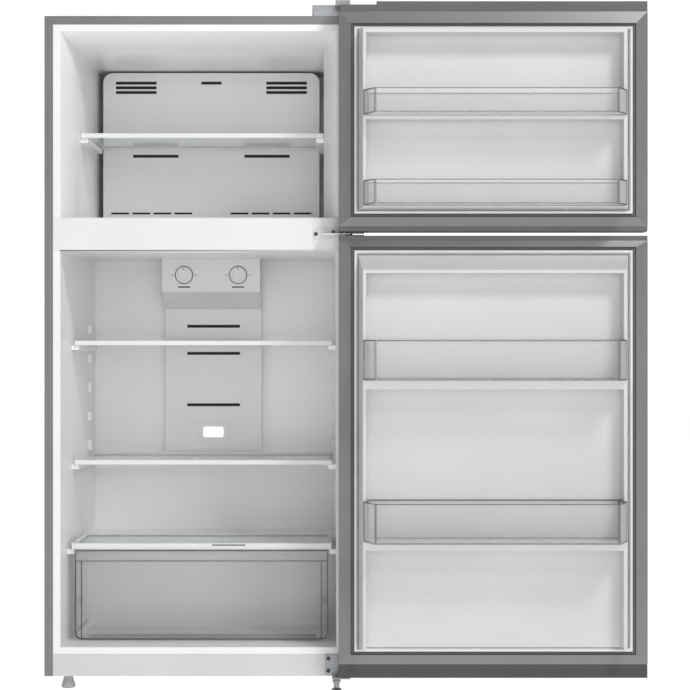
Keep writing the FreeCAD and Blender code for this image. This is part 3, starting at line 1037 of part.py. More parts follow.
def feet_and_rollers():
    left = turned("LeftFootBody", [
        ("0", "0"), ("footRadius - footRound", "0"), ("footRadius", "footRound"), ("footRadius", "footPad"),
        ("footNeck", "footHeight - footNeckDrop"), ("footNeck", "footHeight"), ("studRadius", "footHeight"),
        ("studRadius", "footHeight + studLength"), ("0", "footHeight + studLength"),
    ])
    place(left, *FOOT, "0")
    keep("left_foot", together("LeftFoot", left))
    nut_top = "(footHeight - rightFootNutDrop)"
    nut_low = f"({nut_top} - rightFootNutHeight)"
    stud_top = f"({nut_top} + rightStudLength)"
    right = turned("RightFootBody", [
        ("0", "0"), ("rightFootRadius - footRound / 2", "0"), ("rightFootRadius", "footRound / 2"),
        ("rightFootRadius", "footPad"), ("rightFootNeck", "2 * footPad"), ("rightFootNeck", nut_low),
        ("rightFootNeck + rightFootNut", nut_low), ("rightFootNeck + rightFootNut", nut_top),
        ("studRadius", nut_top), ("studRadius", stud_top), ("0", stud_top),
    ])
    place(right, *RIGHT_FOOT, "0")
    keep("right_foot", together("RightFoot", right))

    roller_y = "(cabinetDepth - rollerSetback)"
    brackets = []
    for side, node in ((-1, "left_roller"), (1, "right_roller")):
        middle = f"({side} * ({CABINET_HALF} - rollerInset))"
        name = node.title().replace("_", "")
        inner, shoulder = "axleRadius + axleClearance", "rollerRadius - rollerRound"
        side_z = "rollerWidth / 2"
        wheel = turned(name + "Wheel", [
            (inner, f"-{side_z}"), (shoulder, f"-{side_z}"), ("rollerRadius", f"rollerRound - {side_z}"),
            ("rollerRadius", f"{side_z} - rollerRound"), (shoulder, side_z), (inner, side_z),
        ])
        wheel.Placement = FreeCAD.Placement(Vector(), TURN["x"])
        place(wheel, middle, roller_y, "rollerRadius")
        keep(node, together(name, wheel))
        cheek = "(rollerWidth / 2 + rollerGap)"
        walls = []
        for end in (-1, 1):
            near, far = f"{middle} + {end} * {cheek}", f"{middle} + {end} * ({cheek} + bracketWall)"
            walls.append(block(f"{name}Cheek{len(walls)}", (far, near) if end < 0 else (near, far),
                               (f"{roller_y} - bracketHalf", f"{roller_y} + bracketHalf"),
                               ("rollerRadius - bracketDrop", "footHeight")))
        axle_at = (f"{middle} - {cheek} - bracketWall", roller_y, "rollerRadius")
        axle = rod(name + "Axle", "axleRadius", axle_at,
                   f"2 * ({cheek} + bracketWall)", "x")
        brackets.append(joined(name + "Bracket", axle, *walls))
    keep("roller_brackets", together("RollerBrackets", *brackets))


# ---------------------------------------------------------------- build, check and write
cabinet_shell()
base_parts()
freezer_fittings()
fridge_fittings()
doors()
hinges()
feet_and_rollers()
doc.recompute()

for item in doc.Objects:
    if {"Invalid", "Error"} & set(item.State):
        raise RuntimeError(f"{item.Name} failed: {item.State}")
for node, item in nodes.items():
    if item.Shape.isNull() or not item.Shape.isValid() or item.Shape.Volume <= 0:
        raise RuntimeError(f"{node} has no valid shape")

os.makedirs("parts", exist_ok=True)
for node, item in nodes.items():
    item.Shape.exportStep(f"parts/{node}.step")
    print(node, len(item.Shape.Solids), round(item.Shape.Volume / 1000, 1))
print(len(nodes), "nodes")
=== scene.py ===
import bpy
import bmesh
import json
import math
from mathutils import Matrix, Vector

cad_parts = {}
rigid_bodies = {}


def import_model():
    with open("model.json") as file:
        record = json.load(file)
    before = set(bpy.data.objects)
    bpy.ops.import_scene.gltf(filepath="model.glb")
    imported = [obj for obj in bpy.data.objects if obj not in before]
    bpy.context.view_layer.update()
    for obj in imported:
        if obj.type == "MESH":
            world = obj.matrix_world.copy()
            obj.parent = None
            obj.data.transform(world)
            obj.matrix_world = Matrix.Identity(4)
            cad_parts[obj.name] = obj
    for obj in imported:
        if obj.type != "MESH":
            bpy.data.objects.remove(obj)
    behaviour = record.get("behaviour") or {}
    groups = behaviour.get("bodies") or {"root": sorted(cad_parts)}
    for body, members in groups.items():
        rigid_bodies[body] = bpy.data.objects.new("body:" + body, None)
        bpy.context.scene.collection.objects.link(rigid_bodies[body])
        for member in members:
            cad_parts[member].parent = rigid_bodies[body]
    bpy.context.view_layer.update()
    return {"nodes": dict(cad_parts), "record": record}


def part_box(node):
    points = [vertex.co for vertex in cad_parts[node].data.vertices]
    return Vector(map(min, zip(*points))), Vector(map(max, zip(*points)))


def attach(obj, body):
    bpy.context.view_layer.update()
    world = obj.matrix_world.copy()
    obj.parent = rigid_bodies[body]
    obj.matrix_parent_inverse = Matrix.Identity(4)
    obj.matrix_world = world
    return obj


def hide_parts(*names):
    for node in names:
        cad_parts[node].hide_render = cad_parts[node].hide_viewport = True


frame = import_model()
nodes = frame["nodes"]
print("frame loaded", len(nodes), "nodes")


cabinetLow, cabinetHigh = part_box("cabinet_wrapper")
cabinetMiddle = (cabinetLow[0] + cabinetHigh[0]) / 2


def middle(node):
    low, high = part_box(node)
    return [(low[i] + high[i]) / 2 for i in range(3)]


def toLinear(hexColour):
    # sRGB hex to the linear values that Blender mixes
    values = [int(hexColour[i:i + 2], 16) / 255 for i in (1, 3, 5)]
    return [v / 12.92 if v <= 0.04045 else ((v + 0.055) / 1.055) ** 2.4 for v in values] + [1.0]


def addNode(tree, kind, settings=None, links=None):
    # one node with its socket values, its own properties and its incoming links
    node = tree.nodes.new(kind)
    for key, value in (settings or {}).items():
        if isinstance(key, str) and hasattr(node, key) and key not in node.inputs:
            setattr(node, key, value)
        else:
            node.inputs[key].default_value = value
    for socket, source in (links or {}).items():
        tree.links.new(source, node.inputs[socket])
    return node


# finishes: what each real material is, and what it shows

finishes = {
    # pre-coated steel sheet, rolled with a fine upright grain: soft streaks, dull sheen
    "inox_steel": dict(name="CoatedSteelSheet", colours=("#7c7c7c", "#858585"), roughness=0.36,
                       metallic=0.25, grainMm=1.6, stretch=(1, 1, 0.02), bump=0.04),
    # zinc coated back sheet: faint large spangle
    "galvanised_steel": dict(name="GalvanisedSheet", colours=("#9b9fa1", "#aeb2b4"), roughness=0.45,
                             metallic=0.9, grainMm=14, stretch=(1, 1, 1), bump=0.02),
    # stamped and zinc plated hinge steel: bright with dull patches
    "zinc_steel": dict(name="ZincPlatedSteel", colours=("#86888b", "#a2a4a6"), roughness=0.34,
                       metallic=0.95, grainMm=3, stretch=(1, 1, 1), bump=0.05),
    # vacuum formed polystyrene: satin white with a slight orange peel
    "liner_plastic": dict(name="FormedPolystyrene", colours=("#eff0f1", "#f5f5f6"), roughness=0.33,
                          metallic=0, grainMm=5, stretch=(1, 1, 1), bump=0.035, coat=0.15),
    # painted shade: the doors' inner panels are coloured greyer than the cabinet's liners, to stand in
    # for the shade in their recesses
    "doorLiner": dict(name="GreyWhitePolystyrene", colours=("#cbcccd", "#d3d4d5"), roughness=0.36,
                      metallic=0, grainMm=5, stretch=(1, 1, 1), bump=0.035, coat=0.1),
    # injection moulded ABS: even fine grain
    "white_plastic": dict(name="MouldedWhiteAbs", colours=("#e4e5e6", "#ebebec"), roughness=0.38,
                          metallic=0, grainMm=1.8, stretch=(1, 1, 1), bump=0.05),
    # extruded soft PVC seal: matt, slightly dusty
    "gasket_rubber": dict(name="SoftPvcSeal", colours=("#d9dadb", "#e6e7e8"), roughness=0.6, metallic=0,
                          grainMm=2.5, stretch=(1, 1, 1), bump=0.05),
    # moulded grey polypropylene door caps: fine spark-eroded grain
    "dark_cap": dict(name="GreyPolypropylene", colours=("#5b5b5b", "#656565"), roughness=0.5,
                     metallic=0, grainMm=1.5, stretch=(1, 1, 1), bump=0.08),
    # painted shade: the fridge door's low cap is coloured darker than the others, to stand in for the
    # shade at the foot of the door
    "lowCap": dict(name="DarkGreyPolypropylene", colours=("#3f3f3f", "#484848"), roughness=0.5,
                   metallic=0, grainMm=1.5, stretch=(1, 1, 1), bump=0.08),
    # black polypropylene small parts
    "dark_plastic": dict(name="BlackPolypropylene", colours=("#2b2b2d", "#363638"), roughness=0.55,
                         metallic=0, grainMm=2, stretch=(1, 1, 1), bump=0.08),
    # light grey ABS mouldings
    "grey_plastic": dict(name="LightGreyAbs", colours=("#9d9fa1", "#a9abad"), roughness=0.42,
                         metallic=0, grainMm=1.6, stretch=(1, 1, 1), bump=0.06),
    # stove enamelled base beam: smooth pale grey
    "base_enamel": dict(name="PaleGreyEnamel", colours=("#cfcfcf", "#d6d6d6"), roughness=0.4,
                        metallic=0, grainMm=4, stretch=(1, 1, 1), bump=0.02, coat=0.2),
    # moulded rubber grommets and foot pads: dull and slightly rough
    "black_rubber": dict(name="BlackRubber", colours=("#161616", "#202020"), roughness=0.75, metallic=0,
                         grainMm=2, stretch=(1, 1, 1), bump=0.1),
    # dipped and baked enamel on steel: smooth, soft gloss
    "black_enamel": dict(name="BlackEnamel", colours=("#0e0e0f", "#171718"), roughness=0.35, metallic=0,
                         grainMm=3, stretch=(1, 1, 1), bump=0.03),
    # mill finish fins and tube
    "bare_aluminium": dict(name="MillAluminium", colours=("#c3c5c8", "#d2d4d6"), roughness=0.36,
                           metallic=1, grainMm=2, stretch=(0.05, 1, 1), bump=0.04),
    # powder coated hinge plate: smooth, slightly soft white
    "white_enamel": dict(name="WhitePowderCoat", colours=("#dcdddf", "#e6e7e8"), roughness=0.4,
                         metallic=0, grainMm=1.2, stretch=(1, 1, 1), bump=0.04, coat=0.1),
    # blown foam between sheet and liner: matt, open-celled where it is cut
    "insulation": dict(name="PolyurethaneFoam", colours=("#d9cf9a", "#e6dcab"), roughness=0.9,
                       metallic=0, grainMm=4, stretch=(1, 1, 1), bump=0.3),
}
clearFinishes = {
    # clear polystyrene bins and drawer: nearly colourless face on, milky where it is seen edge on
    "clear_plastic": dict(name="ClearPolystyrene", tint="#eef0f1", roughness=0.08, ior=1.58,
                          faceOn=0.09, edgeOn=0.62),
    # tempered float glass: faintly green
    "shelf_glass": dict(name="TemperedGlass", tint="#eef3f2", roughness=0.04, ior=1.5, faceOn=0.14,
                        edgeOn=0.5),
    # the cut and moulded edges of both: light is trapped there, so they read as dark lines
    "plasticEdge": dict(name="PolystyreneEdge", tint="#54585a", roughness=0.15, ior=1.58, faceOn=0.62,
                        edgeOn=0.9),
    # painted shade: the drawer's thick front border is tinted nearly black, to stand in for the light
    # that its thick clear plastic traps
    "drawerBorder": dict(name="ThickPolystyreneBorder", tint="#1b1c1e", roughness=0.15, ior=1.58,
                         faceOn=0.86, edgeOn=0.95),
    # ground edge of the glass: pale and nearly opaque
    "glassEdge": dict(name="GroundGlassEdge", tint="#dfe8e5", roughness=0.3, ior=1.5, faceOn=0.92,
                      edgeOn=0.97),
}
# finishes of the modelled details
extraFinishes = {
    # painted shade: a dark charcoal sheet behind the air slots stands in for the shade inside them: matt,
    # swallows the light
    "airBaffle": dict(name="CharcoalFelt", colours=("#2c2c2d", "#3a3a3b"), roughness=0.95, metallic=0,
                      grainMm=2, stretch=(1, 1, 1), bump=0.3),
    # printed scale marks: flat grey ink; the same grey paints the shade in the dials' pointer notches
    "markInk": dict(name="GreyPadPrint", colours=("#5a5a5b", "#666667"), roughness=0.6, metallic=0,
                    grainMm=1, stretch=(1, 1, 1), bump=0.01),
    # painted shade: the seal's outer fin lies in its own shade, so it is painted a darker grey than the
    # bulb; the same grey paints the shade in the finger slot and in the gaps round the dials
    "sealFin": dict(name="GreyPvcFin", colours=("#666768", "#707172"), roughness=0.65, metallic=0,
                    grainMm=2.5, stretch=(1, 1, 1), bump=0.06),
    # black zinc plated screws
    "darkZinc": dict(name="BlackZincScrew", colours=("#3c3d3f", "#4b4c4e"), roughness=0.4, metallic=0.8,
                     grainMm=1, stretch=(1, 1, 1), bump=0.05),
}
# opal polycarbonate over the lamp
lensFinish = dict(name="OpalPolycarbonate", tint="#ffffff", roughness=0.35, glow=0.45)
materials = {}
broadMm = 240  # the slow change of tone over a sheet
glossSpread = 0.05


def surfaceNoise(tree, sizeMm, stretch=(1, 1, 1), detail=3):
    place = addNode(tree, "ShaderNodeTexCoord")
    scale = [1000 / sizeMm * s for s in stretch]
    mapping = addNode(tree, "ShaderNodeMapping", {"Scale": scale}, {"Vector": place.outputs["Object"]})
    return addNode(tree, "ShaderNodeTexNoise", {"Scale": 1.0, "Detail": detail, "Roughness": 0.55},
                   {"Vector": mapping.outputs["Vector"]})


def newMaterial(name):
    material = bpy.data.materials.new(name)
    material.use_nodes = True
    tree = material.node_tree
    tree.nodes.clear()
    return material, tree


def solidFinish(name, colours, roughness, metallic, grainMm, stretch, bump, coat=0.0):
    material, tree = newMaterial(name)
    grain = surfaceNoise(tree, grainMm, stretch)
    broad = surfaceNoise(tree, broadMm, (1, 1, 1), 2)
    blend = addNode(tree, "ShaderNodeMix", {"data_type": "FLOAT", 0: 0.5},
                    {2: grain.outputs["Fac"], 3: broad.outputs["Fac"]})
    tone = addNode(tree, "ShaderNodeValToRGB", links={"Fac": blend.outputs[0]})
    for stop, place, colour in zip(tone.color_ramp.elements, (0.35, 0.65), colours):
        stop.position, stop.color = place, toLinear(colour)
    gloss = addNode(tree, "ShaderNodeMapRange",
                    {"To Min": roughness - glossSpread, "To Max": roughness + glossSpread},
                    {"Value": broad.outputs["Fac"]})
    relief = addNode(tree, "ShaderNodeBump", {"Strength": bump, "Distance": grainMm / 4000},
                     {"Height": grain.outputs["Fac"]})
    shader = addNode(tree, "ShaderNodeBsdfPrincipled", {"Metallic": metallic, "Coat Weight": coat},
                     {"Base Color": tone.outputs["Color"], "Roughness": gloss.outputs["Result"],
                      "Normal": relief.outputs["Normal"]})
    addNode(tree, "ShaderNodeOutputMaterial", links={"Surface": shader.outputs["BSDF"]})
    return material


def clearFinish(name, tint, roughness, ior, faceOn, edgeOn):
    material, tree = newMaterial(name)
    haze = surfaceNoise(tree, 180, (1, 1, 1), 1)
    slant = addNode(tree, "ShaderNodeLayerWeight", {"Blend": 0.35})
    cover = addNode(tree, "ShaderNodeMapRange", {"To Min": faceOn, "To Max": edgeOn},
                    {"Value": slant.outputs["Facing"]})
    gloss = addNode(tree, "ShaderNodeMapRange", {"To Min": roughness * 0.7, "To Max": roughness * 1.3},
                    {"Value": haze.outputs["Fac"]})
    shader = addNode(tree, "ShaderNodeBsdfPrincipled",
                     {"Base Color": toLinear(tint), "IOR": ior, "Specular IOR Level": 0.8},
                     {"Roughness": gloss.outputs["Result"], "Alpha": cover.outputs["Result"]})
    addNode(tree, "ShaderNodeOutputMaterial", links={"Surface": shader.outputs["BSDF"]})
    return material


def lensMaterial(name, tint, roughness, glow):
    # an opal lens with its lamp lit behind it
    material, tree = newMaterial(name)
    frost = surfaceNoise(tree, 3)
    relief = addNode(tree, "ShaderNodeBump", {"Strength": 0.1, "Distance": 0.0005},
                     {"Height": frost.outputs["Fac"]})
    shader = addNode(tree, "ShaderNodeBsdfPrincipled",
                     {"Base Color": toLinear(tint), "Roughness": roughness,
                      "Emission Color": toLinear(tint), "Emission Strength": glow},
                     {"Normal": relief.outputs["Normal"]})
    addNode(tree, "ShaderNodeOutputMaterial", links={"Surface": shader.outputs["BSDF"]})
    return material


for slotName, finish in (finishes | extraFinishes).items():
    materials[slotName] = solidFinish(**finish)
for slotName, finish in clearFinishes.items():
    materials[slotName] = clearFinish(**finish)
materials["lamp_lens"] = lensMaterial(**lensFinish)
nodeSlots = {part["node"]: part["material_slot"] for part in frame["record"]["subparts"]}
bodies = frame["record"]["behaviour"]["bodies"]
nodeBody = {node: body for body, members in bodies.items() for node in members}
for nodeName, node in nodes.items():
    node.data.materials.clear()
    node.data.materials.append(materials[nodeSlots[nodeName]])
print("finishes made")


# modelling helpers

def startFresh():
    if bpy.context.object and bpy.context.object.mode != "OBJECT":
        bpy.ops.object.mode_set(mode="OBJECT")
    bpy.ops.object.select_all(action="DESELECT")


def edit(piece, elements="FACE"):
    # into edit mode on one piece, nothing selected
    startFresh()
    piece.select_set(True)
    bpy.context.view_layer.objects.active = piece
    bpy.ops.object.mode_set(mode="EDIT")
    bpy.ops.mesh.select_mode(type=elements)
    bpy.ops.mesh.select_all(action="DESELECT")


def pick(piece, wanted, elements="faces"):
    # select what a test names by place or normal
    mesh = bmesh.from_edit_mesh(piece.data)
    for item in getattr(mesh, elements):
        if wanted(item):
            item.select_set(True)
    bmesh.update_edit_mesh(piece.data)


def settle(piece, name, finishNames, smooth=30):
    # a finished piece: named, shaded, its place in its mesh
    startFresh()
    piece.select_set(True)
    bpy.context.view_layer.objects.active = piece
    bpy.ops.object.transform_apply(location=True, rotation=True, scale=True)
    piece.name = name
    piece.data.name = name
    slots = [polygon.material_index for polygon in piece.data.polygons]
    piece.data.materials.clear()
    for finishName in finishNames:
        piece.data.materials.append(materials[finishName])
    for polygon, slot in zip(piece.data.polygons, slots):
        polygon.material_index = slot
    bpy.ops.object.shade_smooth_by_angle(angle=math.radians(smooth))
    evenShade = piece.modifiers.new("evenShade", "WEIGHTED_NORMAL")
    evenShade.keep_sharp = True
    bpy.ops.object.modifier_apply(modifier=evenShade.name)
    startFresh()
    return piece


def placed(piece, body, slotName, *replaced):
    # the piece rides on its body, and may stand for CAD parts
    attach(piece, body)
    if replaced:
        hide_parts(*replaced)
    return piece


def box(low, high):
    # a cuboid between two corners, to be shaped further
    startFresh()
    bpy.ops.mesh.primitive_cube_add(size=1, location=[(low[i] + high[i]) / 2 for i in range(3)],
                                    scale=[high[i] - low[i] for i in range(3)])
    bpy.ops.object.transform_apply(location=True, rotation=True, scale=True)
    return bpy.context.object


def roundEdges(piece, width, segments=2, wanted=lambda edge: True, slot=-1, sharpest=0.4):
    # bevel the sharp edges that a test picks by their place
    edit(piece, "EDGE")
    pick(piece, lambda edge: len(edge.link_faces) == 2 and edge.calc_face_angle(0) > sharpest
         and wanted(edge), "edges")
    bpy.ops.mesh.bevel(offset=width, segments=segments, affect="EDGES", clamp_overlap=True, material=slot)
    bpy.ops.object.mode_set(mode="OBJECT")
    return piece


def alongY(edge):
    # an edge that runs from front to back
    return abs(edge.verts[0].co.y - edge.verts[1].co.y) > 0.0001


def framedPlane(low, high, y):
    # a plane that faces the front, all selected
    startFresh()
    bpy.ops.mesh.primitive_plane_add(size=1, location=((low[0] + high[0]) / 2, y, (low[2] + high[2]) / 2),
                                     rotation=(math.radians(90), 0, 0))
    plane = bpy.context.object
    plane.scale = (high[0] - low[0], high[2] - low[2], 1)
    bpy.ops.object.transform_apply(location=True, rotation=True, scale=True)
    edit(plane)
    bpy.ops.mesh.select_all(action="SELECT")
    return plane


def giveWall(ring, thickness):
    # the middle is opened, and the sheet gets its wall behind
    bpy.ops.mesh.delete(type="FACE")
    bpy.ops.object.mode_set(mode="OBJECT")
    wall = ring.modifiers.new("wall", "SOLIDIFY")
    wall.thickness = thickness
    wall.offset = -1
    bpy.ops.object.modifier_apply(modifier=wall.name)


def joined(pieces):
    startFresh()
    for piece in pieces:
        piece.select_set(True)
    bpy.context.view_layer.objects.active = pieces[0]
    bpy.ops.object.join()
    return bpy.context.object


def mergedCopy(node):
    # an editable copy of a CAD part: doubles merged and flat faces joined
    startFresh()
    nodes[node].select_set(True)
    bpy.context.view_layer.objects.active = nodes[node]
    bpy.ops.object.duplicate()
    piece = bpy.context.object
    piece.modifiers.clear()
    if piece.parent:
        bpy.ops.object.parent_clear(type="CLEAR_KEEP_TRANSFORM")
    edit(piece)
    bpy.ops.mesh.select_all(action="SELECT")
    bpy.ops.mesh.remove_doubles(threshold=0.00002)
    bpy.ops.mesh.dissolve_limited(angle_limit=math.radians(0.6))
    bpy.ops.object.mode_set(mode="OBJECT")
    return piece


def softened(node, width, segments=2, smooth=35, finish=None, edgeFinish=None, sharpest=0.4):
    # the CAD part with the small radii that a mould or a press leaves on its edges
    piece = mergedCopy(node)
    roundEdges(piece, width, segments, slot=1 if edgeFinish else -1, sharpest=sharpest)
    finishNames = [finish or nodeSlots[node]] + ([edgeFinish] if edgeFinish else [])
    words = node.split("_")
    settle(piece, words[0] + "".join(word.title() for word in words[1:]), finishNames, smooth)
    return placed(piece, nodeBody[node], nodeSlots[node], node)


# pressed and moulded casings, with the radii of their tools

edgeRadius = {
    "cabinet_wrapper": 0.0008, "cabinet_back_panel": 0.0006, "machine_cover": 0.001,
    "base_front_beam": 0.0015, "mullion_cover": 0.0012, "top_hinge_cover": 0.0025,
    "evaporator_cover": 0.0018, "duct_cover": 0.0015, "control_housing": 0.0022,
    "freezer_door_skin": 0.0006, "fridge_door_skin": 0.0006,
    "freezer_door_top_cap": 0.0015, "freezer_door_bottom_cap": 0.0015,
    "fridge_door_top_cap": 0.0015, "fridge_door_bottom_cap": 0.0015,
    "freezer_door_liner": 0.0028, "fridge_door_liner": 0.0028,
    "freezer_liner": 0.003, "fridge_liner": 0.003,
    "middle_hinge": 0.0005, "bottom_hinge": 0.0005, "hinge_screws": 0.0004,
}
otherFinish = {"freezer_door_liner": "doorLiner", "fridge_door_liner": "doorLiner",
               "fridge_door_bottom_cap": "lowCap", "hinge_screws": "darkZinc",
               "mullion_cover": "white_plastic"}
for nodeName, radius in edgeRadius.items():
    softened(nodeName, radius, finish=otherFinish.get(nodeName))
print("casings softened", len(edgeRadius))


# clear bins, drawer and shelves: dark lines where their edges trap the light

clearEdges = {"bin": 0.0026, "drawer": 0.0032, "glass": 0.0008, "trim": 0.001, "leastArea": 0.0003,
              "floorArea": 0.01}


def edgeLines(piece, width):
    # a band along the border of every upright wall, where the light comes out
    edit(piece)
    pick(piece, lambda face: abs(face.normal.z) < 0.2 and face.calc_area() > clearEdges["leastArea"])
    mesh = bmesh.from_edit_mesh(piece.data)
    for face in mesh.faces:
        face.material_index = 1
    bpy.ops.mesh.inset(thickness=width, depth=0, use_individual=True)
    mesh = bmesh.from_edit_mesh(piece.data)
    for face in mesh.faces:
        if face.select or (abs(face.normal.z) > 0.9 and face.calc_area() > clearEdges["floorArea"]):
            face.material_index = 0
    bmesh.update_edit_mesh(piece.data)
    bpy.ops.object.mode_set(mode="OBJECT")
    return piece


for door in ("freezer", "fridge"):
    for level in ("upper", "lower"):
        node = f"{door}_{level}_bin"
        piece = edgeLines(mergedCopy(node), clearEdges["bin"])
        settle(piece, f"{door}{level.title()}Bin", ["clear_plastic", "plasticEdge"])
        placed(piece, node, "clear_plastic", node)
for shelf in ("freezer_shelf_glass", "upper_shelf_glass", "lower_shelf_glass", "crisper_cover_glass"):
    softened(shelf, clearEdges["glass"], 1, edgeFinish="glassEdge")
for trim in ("freezer_shelf_trim", "upper_shelf_trim", "lower_shelf_trim", "crisper_cover_frame"):
    softened(trim, clearEdges["trim"])

drawer = {"ribs": 5, "ribHeight": 0.004, "ribWidth": 0.003, "ribPitch": 0.009, "ribEnd": 0.03,
          "ribStart": 0.02, "ribRound": 0.001, "clipHeight": 0.022, "clipWidth": 0.015, "clipRise": 0.088,
          "clipFront": 0.002, "clipBack": 0.006, "clipRound": 0.0012, "wall": 0.0025}
drawerLow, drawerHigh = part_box("crisper_drawer")
drawerShell = edgeLines(mergedCopy("crisper_drawer"), clearEdges["drawer"])
drawerParts = [drawerShell]
for number in range(drawer["ribs"]):
    ribY = drawerLow[1] + drawer["ribStart"] + number * drawer["ribPitch"]
    rib = box((drawerLow[0] + drawer["ribEnd"], ribY, drawerLow[2] + drawer["wall"]),
              (drawerHigh[0] - drawer["ribEnd"], ribY + drawer["ribWidth"],
               drawerLow[2] + drawer["wall"] + drawer["ribHeight"]))
    drawerParts.append(roundEdges(rib, drawer["ribRound"], 1))
for side in (-1, 1):
    edgeX = drawerLow[0] if side < 0 else drawerHigh[0]
    span = sorted((edgeX, edgeX - side * drawer["clipWidth"]))
    clip = box((span[0], drawerLow[1] + drawer["clipFront"], drawerLow[2] + drawer["clipRise"]),
               (span[1], drawerLow[1] + drawer["clipBack"],
                drawerLow[2] + drawer["clipRise"] + drawer["clipHeight"]))
    drawerParts.append(roundEdges(clip, drawer["clipRound"], 1, slot=1))
for part in drawerParts[1:]:
    part.data.materials.append(materials["clear_plastic"])
    part.data.materials.append(materials["plasticEdge"])
drawerPiece = settle(joined(drawerParts), "crisperDrawer", ["clear_plastic", "plasticEdge"])
placed(drawerPiece, "crisper_drawer", "clear_plastic", "crisper_drawer")

# painted shade: the drawer's front border, with the returns of its side walls and the line under its top
# rail, tinted near-black where the thick clear plastic traps the light
border = {"width": 0.0028, "corner": 0.017, "cornerSteps": 6, "wall": 0.0012, "clear": 0.0004,
          "returnInset": 0.0165, "returnWidth": 0.0022, "returnRound": 0.0004, "railHeight": 0.027,
          "railLine": 0.0012, "railRound": 0.0003, "reach": 0.001}
frontY = drawerLow[1] + border["clear"]
borderRing = framedPlane(drawerLow, drawerHigh, frontY)
bpy.ops.mesh.select_mode(type="VERT")
bpy.ops.mesh.select_all(action="DESELECT")
pick(borderRing, lambda vert: vert.co.z < drawerLow[2] + border["reach"], "verts")
bpy.ops.mesh.bevel(offset=border["corner"], segments=border["cornerSteps"], affect="VERTICES")
bpy.ops.mesh.select_mode(type="FACE")
bpy.ops.mesh.select_all(action="SELECT")
bpy.ops.mesh.inset(thickness=border["width"], depth=0)
giveWall(borderRing, border["wall"])
borderParts = [borderRing]
railZ = drawerHigh[2] - border["railHeight"]
for side in (-1, 1):
    x = (drawerLow[0] if side < 0 else drawerHigh[0]) - side * border["returnInset"]
    bar = box((x - border["returnWidth"] / 2, frontY, drawerLow[2] + border["width"]),
              (x + border["returnWidth"] / 2, frontY + border["wall"], railZ))
    borderParts.append(roundEdges(bar, border["returnRound"], 1))
railLine = box((drawerLow[0] + border["width"], frontY, railZ - border["railLine"]),
               (drawerHigh[0] - border["width"], frontY + border["wall"], railZ))
borderParts.append(roundEdges(railLine, border["railRound"], 1))
borderPiece = settle(joined(borderParts), "crisperDrawerBorder", ["drawerBorder"])
placed(borderPiece, "crisper_drawer", "clear_plastic")

# painted shade of the finger slot in the cover's front lip: a dark grey bar where the slot's hollow lies
# in shade
coverLow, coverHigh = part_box("crisper_cover_frame")
slotMark = {"from": 0.11, "width": 0.084, "height": 0.0034, "drop": 0.0045, "proud": 0.0003,
            "depth": 0.002, "round": 0.0012}
slotX = middle("crisper_cover_frame")[0] + slotMark["from"] - slotMark["width"] / 2
slotZ = coverHigh[2] - slotMark["drop"]
coverSlot = box((slotX - slotMark["width"] / 2, coverLow[1] - slotMark["proud"],
                 slotZ - slotMark["height"] / 2),
                (slotX + slotMark["width"] / 2, coverLow[1] + slotMark["depth"],
                 slotZ + slotMark["height"] / 2))
roundEdges(coverSlot, slotMark["round"], 2, alongY)
settle(coverSlot, "crisperCoverSlot", ["sealFin"])
placed(coverSlot, "crisper_cover", "dark_plastic")
print("clear parts made")


# painted shade: dark sheets behind the slots, so that they read as dark openings

ventShade = {"setback": 0.0045, "thickness": 0.003, "margin": 0.03, "endGap": 0.006, "louvres": 4,
          "louvreEdge": 0.006, "louvreDepth": 0.004,
          # for each cover: how far its wall stands behind its front, and the part of its height to fill
          "covers": {"evaporator_cover": (0, 0.0, 1.0), "duct_cover": (0.003, 0.18, 0.82)}}
for cover, (wallBack, lowest, highest) in ventShade["covers"].items():
    coverLow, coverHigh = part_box(cover)
    height = coverHigh[2] - coverLow[2]
    front = coverLow[1] + wallBack + ventShade["setback"]
    sheet = box((coverLow[0] + ventShade["margin"], front, coverLow[2] + ventShade["endGap"] + lowest * height),
                (coverHigh[0] - ventShade["margin"], front + ventShade["thickness"],
                 coverLow[2] - ventShade["endGap"] + highest * height))
    edit(sheet)
    pick(sheet, lambda face: face.normal.y > 0.9)
    bpy.ops.mesh.subdivide(number_cuts=ventShade["louvres"])
    bpy.ops.mesh.inset(thickness=ventShade["louvreEdge"], use_individual=True)
    bpy.ops.mesh.extrude_region_move(TRANSFORM_OT_translate={"value": (0, ventShade["louvreDepth"], 0)})
    settle(sheet, cover.split("_")[0] + "Baffle", ["airBaffle"])
    placed(sheet, "cabinet", "dark_plastic")


# control dials, with painted shade in their gap rings and pointer notches, and the printed marks

dial = {"depth": 0.006, "stand": 0.0035, "round": 0.0012, "roundReach": 0.005, "faceArea": 0.0004,
        "dish": 0.0011, "dishEdge": 0.005, "dishSlope": 0.0015, "gap": 0.0016, "ringRadius": 0.0011,
        "ringFlat": 0.4, "notchWidth": 0.0016, "notchLength": 0.007, "notchGap": 0.0015,
        "notchEnd": 0.001, "notchFront": 0.0069, "notchBack": 0.0064, "notchRound": 0.0002,
        "tickLength": 0.009, "tickHeight": 0.0011, "tickGap": 0.004, "barWidth": 0.033,
        "barHeight": 0.004, "barDrop": 0.0325, "ink": 0.0003}


def inkMark(centre, width, height, name):
    # a raised print, rounded at its corners
    mark = box((centre[0] - width / 2, centre[1] - dial["ink"], centre[2] - height / 2),
               (centre[0] + width / 2, centre[1], centre[2] + height / 2))
    roundEdges(mark, height * 0.3, 2, alongY)
    settle(mark, name, ["markInk"])
    return placed(mark, "cabinet", "dark_plastic")


